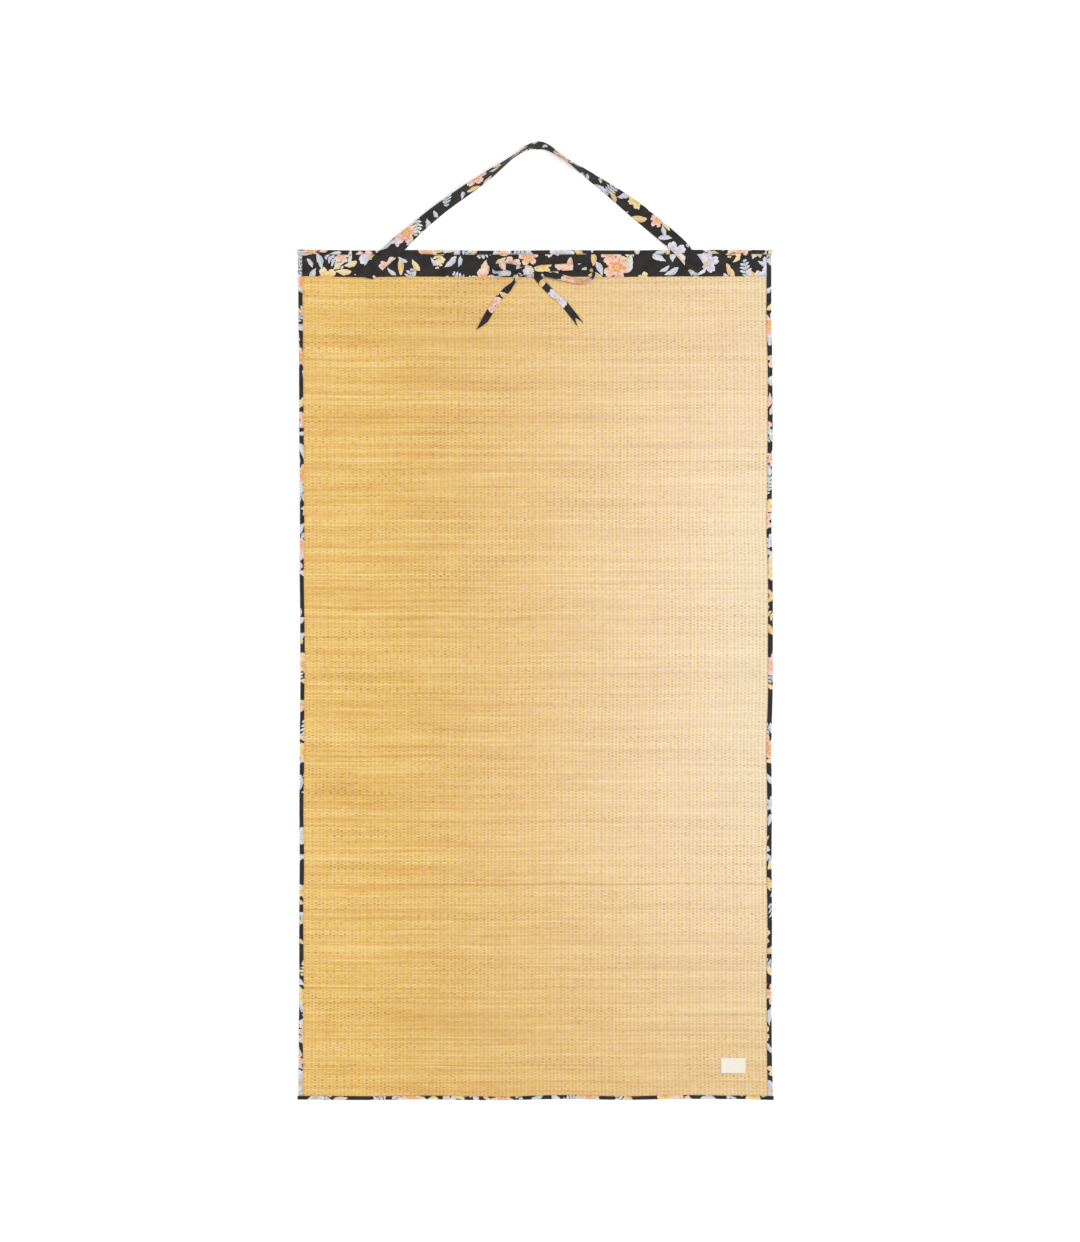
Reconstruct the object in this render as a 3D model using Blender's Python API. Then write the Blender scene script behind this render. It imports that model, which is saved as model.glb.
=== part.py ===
"""Beach mat: a panel woven from straw, edged in printed cotton, with a carry strap and a tie.

The mat lies spread out flat. Its underside is at z = 0 and the middle of the panel is at the origin.
+X runs across the mat, +Y towards the end with the strap, and +Z points up. Sizes are in metres.
"""

import math
from collections import namedtuple

import bmesh
import bpy
from mathutils import Matrix, Vector

MM = 0.001
GAP = 0.3 * MM  # kept between neighbouring pieces

# Mat as cut: a standard single size
MAT_WIDTH = 1.0
MAT_LENGTH = 1.8
HALF_WIDTH = MAT_WIDTH / 2
HALF_LENGTH = MAT_LENGTH / 2

# Thicknesses
STRAW = 2.6 * MM
COTTON = 1.0 * MM  # binding and strip, each a folded layer
STRAP_THICK = 1.6 * MM
RIBBON_THICK = 1.0 * MM

# Bindings, the width that shows on the face of the mat
SIDE_LEFT = 8.8 * MM
SIDE_RIGHT = 10.2 * MM
END_HEAD = 8.8 * MM
END_FOOT = 7.8 * MM
FOLD_ROUND = 1.2 * MM
ROUND_POINT = 0.3  # how far in a rounded corner's middle point lies, as a share of its radius
FOLDED_END = 1.5 * MM  # how far an end binding's turned-in end stands past the mat's side
WIDTH_WAVER = 0.4 * MM
WAVER_LENGTH = 0.23

# Printed strip across the head end, with its lower edge at BAND_FOOT
BAND_FOOT = 0.8438
STEP_UP = 8.0 * MM  # length over which the side bindings climb onto the strip

# Layers from the ground up
UNDER_STRAW = COTTON + GAP  # underside of the straw where a binding lies below it
ON_STRAW = STRAW + GAP
BAND_TOP = ON_STRAW + COTTON
ON_BAND = BAND_TOP + GAP
SIDE_TOP = ON_STRAW + COTTON
HEAD_TOP = ON_BAND + COTTON

# Pressed rim of the straw under the bindings
RIM = 10.8 * MM
RIM_SLOPE = 5.0 * MM

# Carry strap, tie and label
STRAP_WIDTH = 35.0 * MM
RIBBON_WIDTH = 14.5 * MM
LABEL_WIDTH = 53.0 * MM
LABEL_HEIGHT = 33.0 * MM
LABEL_MIDDLE = (0.4176, -0.8264)
LABEL_TURN = math.radians(-0.6)
LABEL_ROUND = 1.5 * MM

# Spacing of the sections
ALONG_STEP = 0.05
ACROSS_STEP = 0.0625
CLEAR_OF_ENDS = 0.15  # share of a step that an even section keeps from a piece's own ones

Side = namedtuple("Side", "y left right")
End = namedtuple("End", "x head foot")
Station = namedtuple("Station", "x y lift tilt")

# How far each long edge lies outside its straight line, in mm
SIDES = (
    Side(-0.900, 4.2, 1.3),
    Side(-0.780, 3.2, -1.2),
    Side(-0.660, 2.0, -1.8),
    Side(-0.520, 2.2, -0.5),
    Side(-0.390, 1.2, -1.6),
    Side(-0.280, 1.8, -0.8),
    Side(-0.160, 0.8, -2.0),
    Side(0.000, -0.4, 1.2),
    Side(0.130, 0.2, 1.2),
    Side(0.240, 1.4, 0.6),
    Side(0.325, 0.6, -2.0),
    Side(0.400, 1.0, -0.8),
    Side(0.520, 2.0, 0.8),
    Side(0.640, 2.4, 0.4),
    Side(0.770, 4.0, -2.0),
    Side(0.900, 4.5, -2.4),
)

# The same for the two short edges
ENDS = (
    End(-0.500, 2.0, -1.6),
    End(-0.365, 0.0, -0.6),
    End(-0.240, 1.2, -2.0),
    End(-0.090, -0.2, -0.2),
    End(0.060, 0.8, -2.8),
    End(0.190, 0.4, -1.0),
    End(0.310, 1.4, -3.0),
    End(0.430, 1.6, -2.6),
    End(0.500, 1.0, -0.8),
)

# Carry strap from its left sewn end over its top to its right one. Place of its middle line, height
# of its lowest edge in mm, and tilt: 0 lies flat and 90 stands on its inner edge.
STRAP = (
    Station(-0.3662, 0.8436, 4.2, 0),
    Station(-0.3354, 0.8728, 5.7, 0),
    Station(-0.3036, 0.9014, 5.8, 6),
    Station(-0.2825, 0.9216, 5.6, 18),
    Station(-0.2600, 0.9425, 2.4, 32),
    Station(-0.2253, 0.9723, 0.0, 38),
    Station(-0.1913, 0.9985, 0.0, 44),
    Station(-0.1574, 1.0222, 0.0, 46),
    Station(-0.1278, 1.0425, 0.0, 51),
    Station(-0.0981, 1.0630, 0.0, 59),
    Station(-0.0730, 1.0812, 0.0, 71),
    Station(-0.0470, 1.1008, 0.0, 80),
    Station(-0.0220, 1.1162, 0.0, 72),
    Station(0.0036, 1.1230, 0.0, 62),
    Station(0.0270, 1.1172, 0.0, 70),
    Station(0.0629, 1.0932, 0.0, 82),
    Station(0.0884, 1.0752, 0.0, 74),
    Station(0.1138, 1.0572, 0.0, 64),
    Station(0.1392, 1.0385, 0.0, 55),
    Station(0.1647, 1.0198, 0.0, 46),
    Station(0.1901, 1.0010, 0.0, 32),
    Station(0.2197, 0.9783, 0.0, 10),
    Station(0.2536, 0.9502, 2.2, 5),
    Station(0.2800, 0.9280, 5.2, 2),
    Station(0.3045, 0.9057, 5.8, 0),
    Station(0.3268, 0.8802, 5.7, 0),
    Station(0.3443, 0.8538, 4.2, 0),
)
STRAP_LEFT_CUT = math.radians(-33)  # the left end is cut along the strip's lower edge
CUT_FADE = 0.03

# The bow's loops, each from the knot round to the knot again, and its two free tails
LOOP_RIGHT = (
    Station(-0.0130, 0.8600, 8.6, 2),
    Station(0.0060, 0.8612, 9.2, 6),
    Station(0.0290, 0.8622, 9.4, 8),
    Station(0.0580, 0.8638, 8.8, 12),
    Station(0.0860, 0.8650, 7.6, 20),
    Station(0.1070, 0.8632, 6.2, 44),
    Station(0.1200, 0.8550, 5.0, 64),
    Station(0.1195, 0.8425, 4.5, 66),
    Station(0.1050, 0.8348, 4.3, 50),
    Station(0.0835, 0.8362, 4.3, 36),
    Station(0.0582, 0.8418, 4.4, 28),
    Station(0.0298, 0.8486, 4.6, 20),
    Station(0.0060, 0.8536, 4.8, 10),
    Station(-0.0130, 0.8560, 5.0, 2),
)
LOOP_LEFT = (
    Station(-0.0270, 0.8565, 5.0, 2),
    Station(-0.0420, 0.8546, 4.8, 12),
    Station(-0.0570, 0.8526, 4.6, 24),
    Station(-0.0730, 0.8512, 4.5, 40),
    Station(-0.0878, 0.8532, 4.5, 62),
    Station(-0.0925, 0.8594, 5.0, 74),
    Station(-0.0878, 0.8648, 6.0, 60),
    Station(-0.0750, 0.8662, 7.6, 30),
    Station(-0.0570, 0.8642, 8.8, 14),
    Station(-0.0420, 0.8618, 9.2, 6),
    Station(-0.0270, 0.8600, 8.6, 2),
)
TAIL_LEFT = (
    Station(-0.0270, 0.8575, 6.4, 8),
    Station(-0.0385, 0.8475, 5.2, 16),
    Station(-0.0543, 0.8308, 3.8, 14),
    Station(-0.0680, 0.8135, 2.9, -6),
    Station(-0.0822, 0.7970, 2.9, 10),
    Station(-0.0932, 0.7790, 3.4, 8),
    Station(-0.1052, 0.7628, 2.9, -6),
    Station(-0.1170, 0.7478, 2.9, -20),
    Station(-0.1262, 0.7358, 2.9, -34),
)
TAIL_RIGHT = (
    Station(-0.0130, 0.8580, 6.6, 0),
    Station(-0.0010, 0.8468, 5.2, 8),
    Station(0.0218, 0.8213, 3.3, 6),
    Station(0.0400, 0.8040, 3.8, -4),
    Station(0.0570, 0.7885, 2.9, 6),
    Station(0.0720, 0.7710, 2.9, 0),
    Station(0.0850, 0.7545, 3.6, -6),
    Station(0.0940, 0.7418, 2.9, 0),
)
TAIL_NOTCH = 17.0 * MM  # depth of the right tail's forked end
NOTCH_SPREAD = 0.92  # share of the ribbon's width that the fork opens to at the tip
NOTCH_REACH = 2.0  # the cutter runs on past the tip, to this many times the fork's depth
NOTCH_HEIGHT = 20.0 * MM
TAIL_LEFT_CUT = math.radians(38)  # the left tail is cut aslant
PINCHED = 0.45  # share of the ribbon's width left where the knot gathers it
PINCH_LENGTH = 0.026

# Knot: a crosswise lump with one turn of ribbon over it
Lump = namedtuple("Lump", "half_x half_y half_z rise turn")
KNOT_MIDDLE = (-0.0200, 0.8575)
KNOT_LUMPS = (
    Lump(17.0 * MM, 9.5 * MM, 4.8 * MM, 3.6 * MM, math.radians(4)),
    Lump(8.2 * MM, 11.8 * MM, 6.0 * MM, 3.4 * MM, math.radians(-14)),
)
KNOT_ROUND = 20
KNOT_RINGS = 12

# Steps between the stations of a swept piece
STRAP_STEPS = 5
RIBBON_STEPS = 4

SHARP_ANGLE = math.radians(40)

# Colours (linear), roughness
STRAW_LOOK = ((0.78, 0.53, 0.22), 0.62)
PRINT_LOOK = ((0.045, 0.041, 0.040), 0.82)
LABEL_LOOK = ((0.86, 0.82, 0.66), 0.80)


def clear_scene():
    for old in list(bpy.data.objects):
        bpy.data.objects.remove(old, do_unlink=True)


def finished(name, look):
    """A matt Principled material of the piece's own."""
    colour, roughness = look
    material = bpy.data.materials.new(name)
    material.use_nodes = True
    shader = material.node_tree.nodes["Principled BSDF"]
    shader.inputs["Base Color"].default_value = (*colour, 1)
    shader.inputs["Roughness"].default_value = roughness
    shader.inputs["Metallic"].default_value = 0
    return material


def make_object(name, mesh_tool, look, smooth=True):
    """Turns a bmesh into an object with outward faces and a material of its own."""
    bmesh.ops.recalc_face_normals(mesh_tool, faces=mesh_tool.faces)
    mesh = bpy.data.meshes.new(name)
    mesh_tool.to_mesh(mesh)
    mesh_tool.free()
    if smooth:
        mesh.shade_smooth()
        mesh.set_sharp_from_angle(angle=SHARP_ANGLE)
    made = bpy.data.objects.new(name, mesh)
    bpy.context.scene.collection.objects.link(made)
    mesh.materials.append(finished(name, look))
    return made


def clamped(value, low=0.0, high=1.0):
    return max(low, min(high, value))


def eased(share):
    return share * share * (3 - 2 * share)


def drift(rows, place, column):
    """How far out an edge lies at a place along it, eased from row to row."""
    for low, high in zip(rows, rows[1:]):
        if place <= high[0] or high is rows[-1]:
            share = clamped((place - low[0]) / (high[0] - low[0]))
            start = getattr(low, column)
            return MM * (start + (getattr(high, column) - start) * eased(share))


def settled(x, y, z):
    """Moves a point of the straight-edged pattern to where the mat's edges really run."""
    across = x / MAT_WIDTH + 0.5
    along = y / MAT_LENGTH + 0.5
    moved_x = x + drift(SIDES, y, "right") * across - drift(SIDES, y, "left") * (1 - across)
    moved_y = y + drift(ENDS, x, "head") * along - drift(ENDS, x, "foot") * (1 - along)
    return Vector((moved_x, moved_y, z))


def stations_between(low, high, step, extra=()):
    """Places from low to high on one shared spacing, so that neighbours' facets lie side by side."""
    first = math.ceil(low / step + CLEAR_OF_ENDS)
    last = math.floor(high / step - CLEAR_OF_ENDS)
    inner = [number * step for number in range(first, last + 1)]
    apart = CLEAR_OF_ENDS * step
    clear = [place for place in inner if all(abs(place - other) > apart for other in extra)]
    return sorted([low, high, *clear, *extra])


def waver(place):
    """The bindings' slight change of width along their length."""
    return WIDTH_WAVER * math.sin(math.tau * place / WAVER_LENGTH)


def join_rows(mesh_tool, first, second, closed):
    """Faces between two rows of points."""
    count = len(first)
    for number in range(count if closed else count - 1):
        after = (number + 1) % count
        mesh_tool.faces.new((first[number], first[after], second[after], second[number]))


def straw_panel():
    """The woven panel: flat on top, its underside raised at the rim to let the bindings under."""
    inset = COTTON + GAP
    slope_end = RIM + RIM_SLOPE
    middle_x = stations_between(slope_end - HALF_WIDTH, HALF_WIDTH - slope_end, ACROSS_STEP)
    middle_y = stations_between(slope_end - HALF_LENGTH, HALF_LENGTH - slope_end, ALONG_STEP)
    rim = [inset, RIM, RIM + RIM_SLOPE / 2]
    xs = [place - HALF_WIDTH for place in rim] + middle_x + [HALF_WIDTH - place for place in rim[::-1]]
    ys = [place - HALF_LENGTH for place in rim] + middle_y + [HALF_LENGTH - place for place in rim[::-1]]

    def underside(x, y):
        from_edge = min(HALF_WIDTH - abs(x), HALF_LENGTH - abs(y))
        return UNDER_STRAW * (1 - eased(clamped((from_edge - RIM) / RIM_SLOPE)))

    tool = bmesh.new()
    top = [[tool.verts.new(settled(x, y, STRAW)) for x in xs] for y in ys]
    below = [[tool.verts.new(settled(x, y, underside(x, y))) for x in xs] for y in ys]
    for layer in (top, below):
        for row, after in zip(layer, layer[1:]):
            join_rows(tool, row, after, closed=False)

    def around(layer):
        left = [row[0] for row in layer]
        right = [row[-1] for row in layer]
        return layer[0][:-1] + right[:-1] + layer[-1][:0:-1] + left[:0:-1]

    join_rows(tool, around(top), around(below), closed=True)
    return make_object("straw_panel", tool, STRAW_LOOK)


def folded_section(width, top):
    """Outline of a binding folded over an edge, as (distance in from the edge, height).

    The first eight points go round the outside of the fold, the last four round its inside.
    """
    corner = ROUND_POINT * FOLD_ROUND
    outside = [
        (width, 0.0),
        (FOLD_ROUND, 0.0),
        (corner, corner),
        (0.0, FOLD_ROUND),
        (0.0, top - FOLD_ROUND),
        (corner, top - corner),
        (FOLD_ROUND, top),
        (width, top),
    ]
    inside = [
        (width, top - COTTON),
        (COTTON, top - COTTON),
        (COTTON, COTTON),
        (width, COTTON),
    ]
    return outside, inside


def side_top(y):
    """Height of a side binding: it steps up over the ends of the printed strip."""
    return SIDE_TOP + (HEAD_TOP - SIDE_TOP) * eased(clamped((y - BAND_FOOT + STEP_UP) / STEP_UP))


def side_binding(name, side, width):
    """One long binding. side is -1 on the left and 1 on the right."""
    low = -HALF_LENGTH + END_FOOT + WIDTH_WAVER + GAP
    high = HALF_LENGTH - END_HEAD - WIDTH_WAVER - GAP
    step_places = [BAND_FOOT - STEP_UP * share for share in (1.0, 0.75, 0.5, 0.25, 0.0)]
    tool = bmesh.new()
    rows = []
    for y in stations_between(low, high, ALONG_STEP, step_places):
        outside, inside = folded_section(width + waver(y), side_top(y))
        points = [settled(side * (HALF_WIDTH - inward), y, z) for inward, z in outside + inside]
        rows.append([tool.verts.new(point) for point in points])
    for row, after in zip(rows, rows[1:]):
        join_rows(tool, row, after, closed=True)
    tool.faces.new(rows[0])
    tool.faces.new(rows[-1])
    return make_object(name, tool, PRINT_LOOK)


def end_binding(name, end, width, top):
    """One short binding, its ends turned in. end is -1 at the foot and 1 at the head."""
    outer = HALF_WIDTH + FOLDED_END
    wall = HALF_WIDTH - COTTON
    tool = bmesh.new()
    rows = []
    for x in stations_between(-outer, outer, ACROSS_STEP, (-wall, wall)):
        outside, inside = folded_section(width + waver(x), top)
        if abs(x) < outer:
            outside += inside
        points = [settled(x, end * (HALF_LENGTH - inward), z) for inward, z in outside]
        rows.append([tool.verts.new(point) for point in points])
    for row, after in zip(rows[1:-1], rows[2:-1]):
        join_rows(tool, row, after, closed=True)
    for outmost, next_in in ((rows[0], rows[1]), (rows[-1], rows[-2])):
        join_rows(tool, outmost, next_in[:8], closed=False)
        tool.faces.new(outmost)
        tool.faces.new(next_in[8:])
        tool.faces.new((outmost[0], next_in[0], next_in[11], next_in[8], next_in[7], outmost[7]))
    return make_object(name, tool, PRINT_LOOK)


def top_band():
    """The printed strip: its lower edge turned under, its other edges tucked in the bindings."""
    inset = COTTON + GAP
    high = HALF_LENGTH - inset
    soft = ROUND_POINT * COTTON
    section = [
        (BAND_FOOT, ON_STRAW + soft),
        (BAND_FOOT + soft, ON_STRAW),
        (high, ON_STRAW),
        (high, BAND_TOP),
        (BAND_FOOT + soft, BAND_TOP),
        (BAND_FOOT, BAND_TOP - soft),
    ]
    tool = bmesh.new()
    rows = []
    for x in stations_between(inset - HALF_WIDTH, HALF_WIDTH - inset, ACROSS_STEP):
        rows.append([tool.verts.new(settled(x, y, z)) for y, z in section])
    for row, after in zip(rows, rows[1:]):
        join_rows(tool, row, after, closed=True)
    tool.faces.new(rows[0])
    tool.faces.new(rows[-1])
    return make_object("top_band", tool, PRINT_LOOK)


def along_curve(values, span, share, held):
    """A smooth curve through values at even steps. A held one never passes beyond them."""
    before = values[max(span - 1, 0)]
    start = values[span]
    end = values[span + 1]
    after = values[min(span + 2, len(values) - 1)]

    def slope(left, middle, right):
        first = middle - left
        second = right - middle
        if not held:
            return (first + second) / 2
        if first * second <= 0:
            return 0.0
        return 2 * first * second / (first + second)

    rise = end - start
    slope_in = slope(before, start, end)
    slope_out = slope(start, end, after)
    return (
        start
        + slope_in * share
        + (3 * rise - 2 * slope_in - slope_out) * share**2
        + (slope_in + slope_out - 2 * rise) * share**3
    )


def ribbon_line(stations, steps):
    """The stations filled in: middle line in plan, height of the lowest edge, and tilt."""
    xs, ys, lifts, tilts = zip(*stations)
    line = []
    for span in range(len(stations) - 1):
        shares = [step / steps for step in range(steps)]
        if span == len(stations) - 2:
            shares.append(1.0)
        for share in shares:
            line.append(
                (
                    Vector((along_curve(xs, span, share, False), along_curve(ys, span, share, False))),
                    MM * along_curve(lifts, span, share, True),
                    math.radians(along_curve(tilts, span, share, True)),
                )
            )
    return line


def ribbon_section(width, thick):
    """A flat strap's section with softened edges, as (across, through)."""
    soft = ROUND_POINT * thick
    half = width / 2
    deep = thick / 2
    return [
        (-half, -deep + soft),
        (-half + soft, -deep),
        (half - soft, -deep),
        (half, -deep + soft),
        (half, deep - soft),
        (half - soft, deep),
        (-half + soft, deep),
        (-half, deep - soft),
    ]


def swept_ribbon(name, stations, width, thick, steps, cuts=(0.0, 0.0), pinched=(False, False)):
    """A flat strap along its stations, tilted about its middle line so that its lowest edge is at lift.

    cuts are the slants of its two ends, and pinched says which ends the knot gathers.
    """
    line = ribbon_line(stations, steps)
    gone = [0.0]
    for (before, *_), (after, *_) in zip(line, line[1:]):
        gone.append(gone[-1] + (after - before).length)
    tool = bmesh.new()
    rows = []
    for number, (middle, lift, tilt) in enumerate(line):
        before = line[max(number - 1, 0)][0]
        after = line[min(number + 1, len(line) - 1)][0]
        forward = (after - before).normalized()
        outward = Vector((-forward.y, forward.x, 0))
        across = outward * math.cos(tilt) + Vector((0, 0, math.sin(tilt)))
        through = Vector((0, 0, math.cos(tilt))) - outward * math.sin(tilt)
        slant = 0.0
        spread = 1.0
        for cut, pinch, past in zip(cuts, pinched, (gone[number], gone[-1] - gone[number])):
            slant += math.tan(cut) * (1 - clamped(past / CUT_FADE))
            if pinch:
                spread *= PINCHED + (1 - PINCHED) * eased(clamped(past / PINCH_LENGTH))
        wide = width * spread
        height = lift + abs(math.sin(tilt)) * wide / 2 + math.cos(tilt) * thick / 2
        centre = Vector((middle.x, middle.y, height))
        sideways = across + forward.to_3d() * slant
        section = ribbon_section(wide, thick)
        rows.append([tool.verts.new(centre + sideways * side + through * deep) for side, deep in section])
    for row, after_row in zip(rows, rows[1:]):
        join_rows(tool, row, after_row, closed=True)
    tool.faces.new(rows[0])
    tool.faces.new(rows[-1])
    return make_object(name, tool, PRINT_LOOK)


def carry_strap():
    return swept_ribbon(
        "carry_strap", STRAP, STRAP_WIDTH, STRAP_THICK, STRAP_STEPS, cuts=(STRAP_LEFT_CUT, 0.0)
    )


def knot_lump(name, lump):
    """A flattened ball of ribbon that sits flat on the strip."""
    tool = bmesh.new()
    bmesh.ops.create_uvsphere(tool, u_segments=KNOT_ROUND, v_segments=KNOT_RINGS, radius=1.0)
    place = (
        Matrix.Translation((*KNOT_MIDDLE, ON_BAND + lump.rise))
        @ Matrix.Rotation(lump.turn, 4, "Z")
        @ Matrix.Diagonal((lump.half_x, lump.half_y, lump.half_z, 1))
    )
    bmesh.ops.transform(tool, matrix=place, verts=tool.verts)
    for vert in tool.verts:
        vert.co.z = max(vert.co.z, ON_BAND)
    return make_object(name, tool, PRINT_LOOK)


def notch_cutter(name):
    """A wedge that forks the end of the right tail."""
    tip = Vector(TAIL_RIGHT[-1][:2])
    forward = (tip - Vector(TAIL_RIGHT[-2][:2])).normalized()
    side = Vector((-forward.y, forward.x))
    point = tip - forward * TAIL_NOTCH
    ahead = forward * TAIL_NOTCH * NOTCH_REACH
    aside = side * RIBBON_WIDTH / 2 * NOTCH_SPREAD * NOTCH_REACH
    corners = [point, point + ahead - aside, point + ahead + aside]
    tool = bmesh.new()
    low = [tool.verts.new((corner.x, corner.y, 0)) for corner in corners]
    high = [tool.verts.new((corner.x, corner.y, NOTCH_HEIGHT)) for corner in corners]
    tool.faces.new(low)
    tool.faces.new(high)
    join_rows(tool, low, high, closed=True)
    return make_object(name, tool, PRINT_LOOK, smooth=False)


def combine(target, other, operation):
    """Adds or cuts a guide with an exact Boolean, and keeps the guide out of the model."""
    other.hide_render = True
    other.display_type = "WIRE"
    step = target.modifiers.new(other.name, "BOOLEAN")
    step.operation = operation
    step.solver = "EXACT"
    step.object = other


def tie():
    """One ribbon tied in a bow: knot, two loops and two free tails in one solid."""
    knot = knot_lump("tie", KNOT_LUMPS[0])
    combine(knot, knot_lump("guide_wrap", KNOT_LUMPS[1]), "UNION")
    for name, stations, cuts, pinched in (
        ("left_loop", LOOP_LEFT, (0.0, 0.0), (True, True)),
        ("right_loop", LOOP_RIGHT, (0.0, 0.0), (True, True)),
        ("left_tail", TAIL_LEFT, (0.0, TAIL_LEFT_CUT), (True, False)),
        ("right_tail", TAIL_RIGHT, (0.0, 0.0), (True, False)),
    ):
        ribbon = swept_ribbon(
            "guide_" + name, stations, RIBBON_WIDTH, RIBBON_THICK, RIBBON_STEPS, cuts, pinched
        )
        combine(knot, ribbon, "UNION")
    combine(knot, notch_cutter("guide_notch"), "DIFFERENCE")
    return knot


def label():
    """The small woven label at the foot, sewn flat on the straw."""
    tool = bmesh.new()
    bmesh.ops.create_cube(tool, size=1.0)
    place = (
        Matrix.Translation((*LABEL_MIDDLE, ON_STRAW + COTTON / 2))
        @ Matrix.Rotation(LABEL_TURN, 4, "Z")
        @ Matrix.Diagonal((LABEL_WIDTH, LABEL_HEIGHT, COTTON, 1))
    )
    bmesh.ops.transform(tool, matrix=place, verts=tool.verts)
    upright = [edge for edge in tool.edges if abs(edge.verts[0].co.z - edge.verts[1].co.z) > GAP]
    bmesh.ops.bevel(tool, geom=upright, offset=LABEL_ROUND, segments=3, affect="EDGES")
    return make_object("label", tool, LABEL_LOOK)


def build():
    clear_scene()
    straw_panel()
    top_band()
    side_binding("binding_left", -1, SIDE_LEFT)
    side_binding("binding_right", 1, SIDE_RIGHT)
    end_binding("binding_top", 1, END_HEAD, HEAD_TOP)
    end_binding("binding_bottom", -1, END_FOOT, SIDE_TOP)
    carry_strap()
    tie()
    label()


build()
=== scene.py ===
"""Beach mat: the looks of its pieces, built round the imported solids.

Sizes are in metres. The mat lies on z = 0, with +X across it and +Y towards the end with the strap.
"""

import math
from collections import namedtuple

import bpy
import numpy as np
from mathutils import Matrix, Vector


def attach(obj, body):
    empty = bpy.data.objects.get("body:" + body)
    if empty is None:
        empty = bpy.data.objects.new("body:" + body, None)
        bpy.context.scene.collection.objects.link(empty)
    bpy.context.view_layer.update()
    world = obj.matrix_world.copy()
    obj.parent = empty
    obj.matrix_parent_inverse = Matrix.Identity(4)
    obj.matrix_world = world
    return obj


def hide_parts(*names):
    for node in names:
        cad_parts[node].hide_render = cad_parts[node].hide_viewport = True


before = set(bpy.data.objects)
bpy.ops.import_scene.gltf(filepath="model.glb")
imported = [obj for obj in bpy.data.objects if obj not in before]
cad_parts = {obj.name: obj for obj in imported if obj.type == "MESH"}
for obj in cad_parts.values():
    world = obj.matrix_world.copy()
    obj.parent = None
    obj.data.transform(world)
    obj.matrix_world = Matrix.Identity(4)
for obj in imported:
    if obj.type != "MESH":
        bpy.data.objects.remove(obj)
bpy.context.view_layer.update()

MM = 0.001

# The mat and its layers, as in the solids
MAT_WIDTH = 1.0
MAT_LENGTH = 1.8
HALF_WIDTH = MAT_WIDTH / 2
HALF_LENGTH = MAT_LENGTH / 2
GAP = 0.3 * MM
STRAW = 2.6 * MM
COTTON = 1.0 * MM
UNDER_STRAW = COTTON + GAP
ON_STRAW = STRAW + GAP
BAND_TOP = ON_STRAW + COTTON
ON_BAND = BAND_TOP + GAP
SIDE_TOP = ON_STRAW + COTTON
HEAD_TOP = ON_BAND + COTTON
TUCKED = COTTON + GAP  # how far the straw and the strip stay in from the outside of the bindings

# Bindings and the pressed rim of the straw under them
SIDE_LEFT = 8.8 * MM
SIDE_RIGHT = 10.2 * MM
END_HEAD = 8.8 * MM
END_FOOT = 7.8 * MM
FOLD_ROUND = 1.2 * MM
FOLDED_END = 1.5 * MM
WIDTH_WAVER = 0.4 * MM
WAVER_LENGTH = 0.23
STEP_UP = 8.0 * MM
RIM = 10.8 * MM
RIM_SLOPE = 5.0 * MM
BINDING_FLATS = 6
BINDING_CORNERS = 4
BINDING_EDGE = 2 * (BINDING_FLATS + BINDING_CORNERS) - 1
BINDING_UPPER = [BINDING_EDGE - step for step in range(BINDING_FLATS)]  # points of its upper face
BINDING_STEP = 5.0 * MM
TIP_ROUND = 0.8 * MM
TIP_DRAWN = 0.28
TIP_ROWS = (0.3 * MM, 0.7 * MM, 1.2 * MM, 1.9 * MM, FOLDED_END + COTTON)

# Printed strip and label
BAND_FOOT = 0.8438
BAND_SECTIONS = 260
BAND_FLATS = 14
BAND_TUCK_SIDE = 0.010
BAND_TUCK_HEAD = 0.012
BAND_FREE_SIDE = 0.010
BAND_FREE_HEAD = 0.008
BAND_PUCKER = 0.030
BAND_TURN = 0.006
LABEL_WIDTH = 53.0 * MM
LABEL_HEIGHT = 33.0 * MM
LABEL_MIDDLE = (0.4176, -0.8264)
LABEL_TURN = math.radians(-0.6)
LABEL_SECTIONS = 30
LABEL_FLATS = 12
LABEL_THICK = 0.9 * COTTON
LABEL_SAG = 0.18 * MM
LABEL_SAG_REACH = 0.004
LABEL_ROLL = 0.35 * MM
LABEL_ROLL_REACH = 0.6 * MM

# How far each long edge lies outside its straight line, in mm: y, left, right
LEFT, RIGHT = 1, 2
SIDES = np.array((
    (-0.900, 4.2, 1.3),
    (-0.780, 3.2, -1.2),
    (-0.660, 2.0, -1.8),
    (-0.520, 2.2, -0.5),
    (-0.390, 1.2, -1.6),
    (-0.280, 1.8, -0.8),
    (-0.160, 0.8, -2.0),
    (0.000, -0.4, 1.2),
    (0.130, 0.2, 1.2),
    (0.240, 1.4, 0.6),
    (0.325, 0.6, -2.0),
    (0.400, 1.0, -0.8),
    (0.520, 2.0, 0.8),
    (0.640, 2.4, 0.4),
    (0.770, 4.0, -2.0),
    (0.900, 4.5, -2.4),
))

# The same for the two short edges: x, head, foot
HEAD, FOOT = 1, 2
ENDS = np.array((
    (-0.500, 2.0, -1.6),
    (-0.365, 0.0, -0.6),
    (-0.240, 1.2, -2.0),
    (-0.090, -0.2, -0.2),
    (0.060, 0.8, -2.8),
    (0.190, 0.4, -1.0),
    (0.310, 1.4, -3.0),
    (0.430, 1.6, -2.6),
    (0.500, 1.0, -0.8),
))

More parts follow.
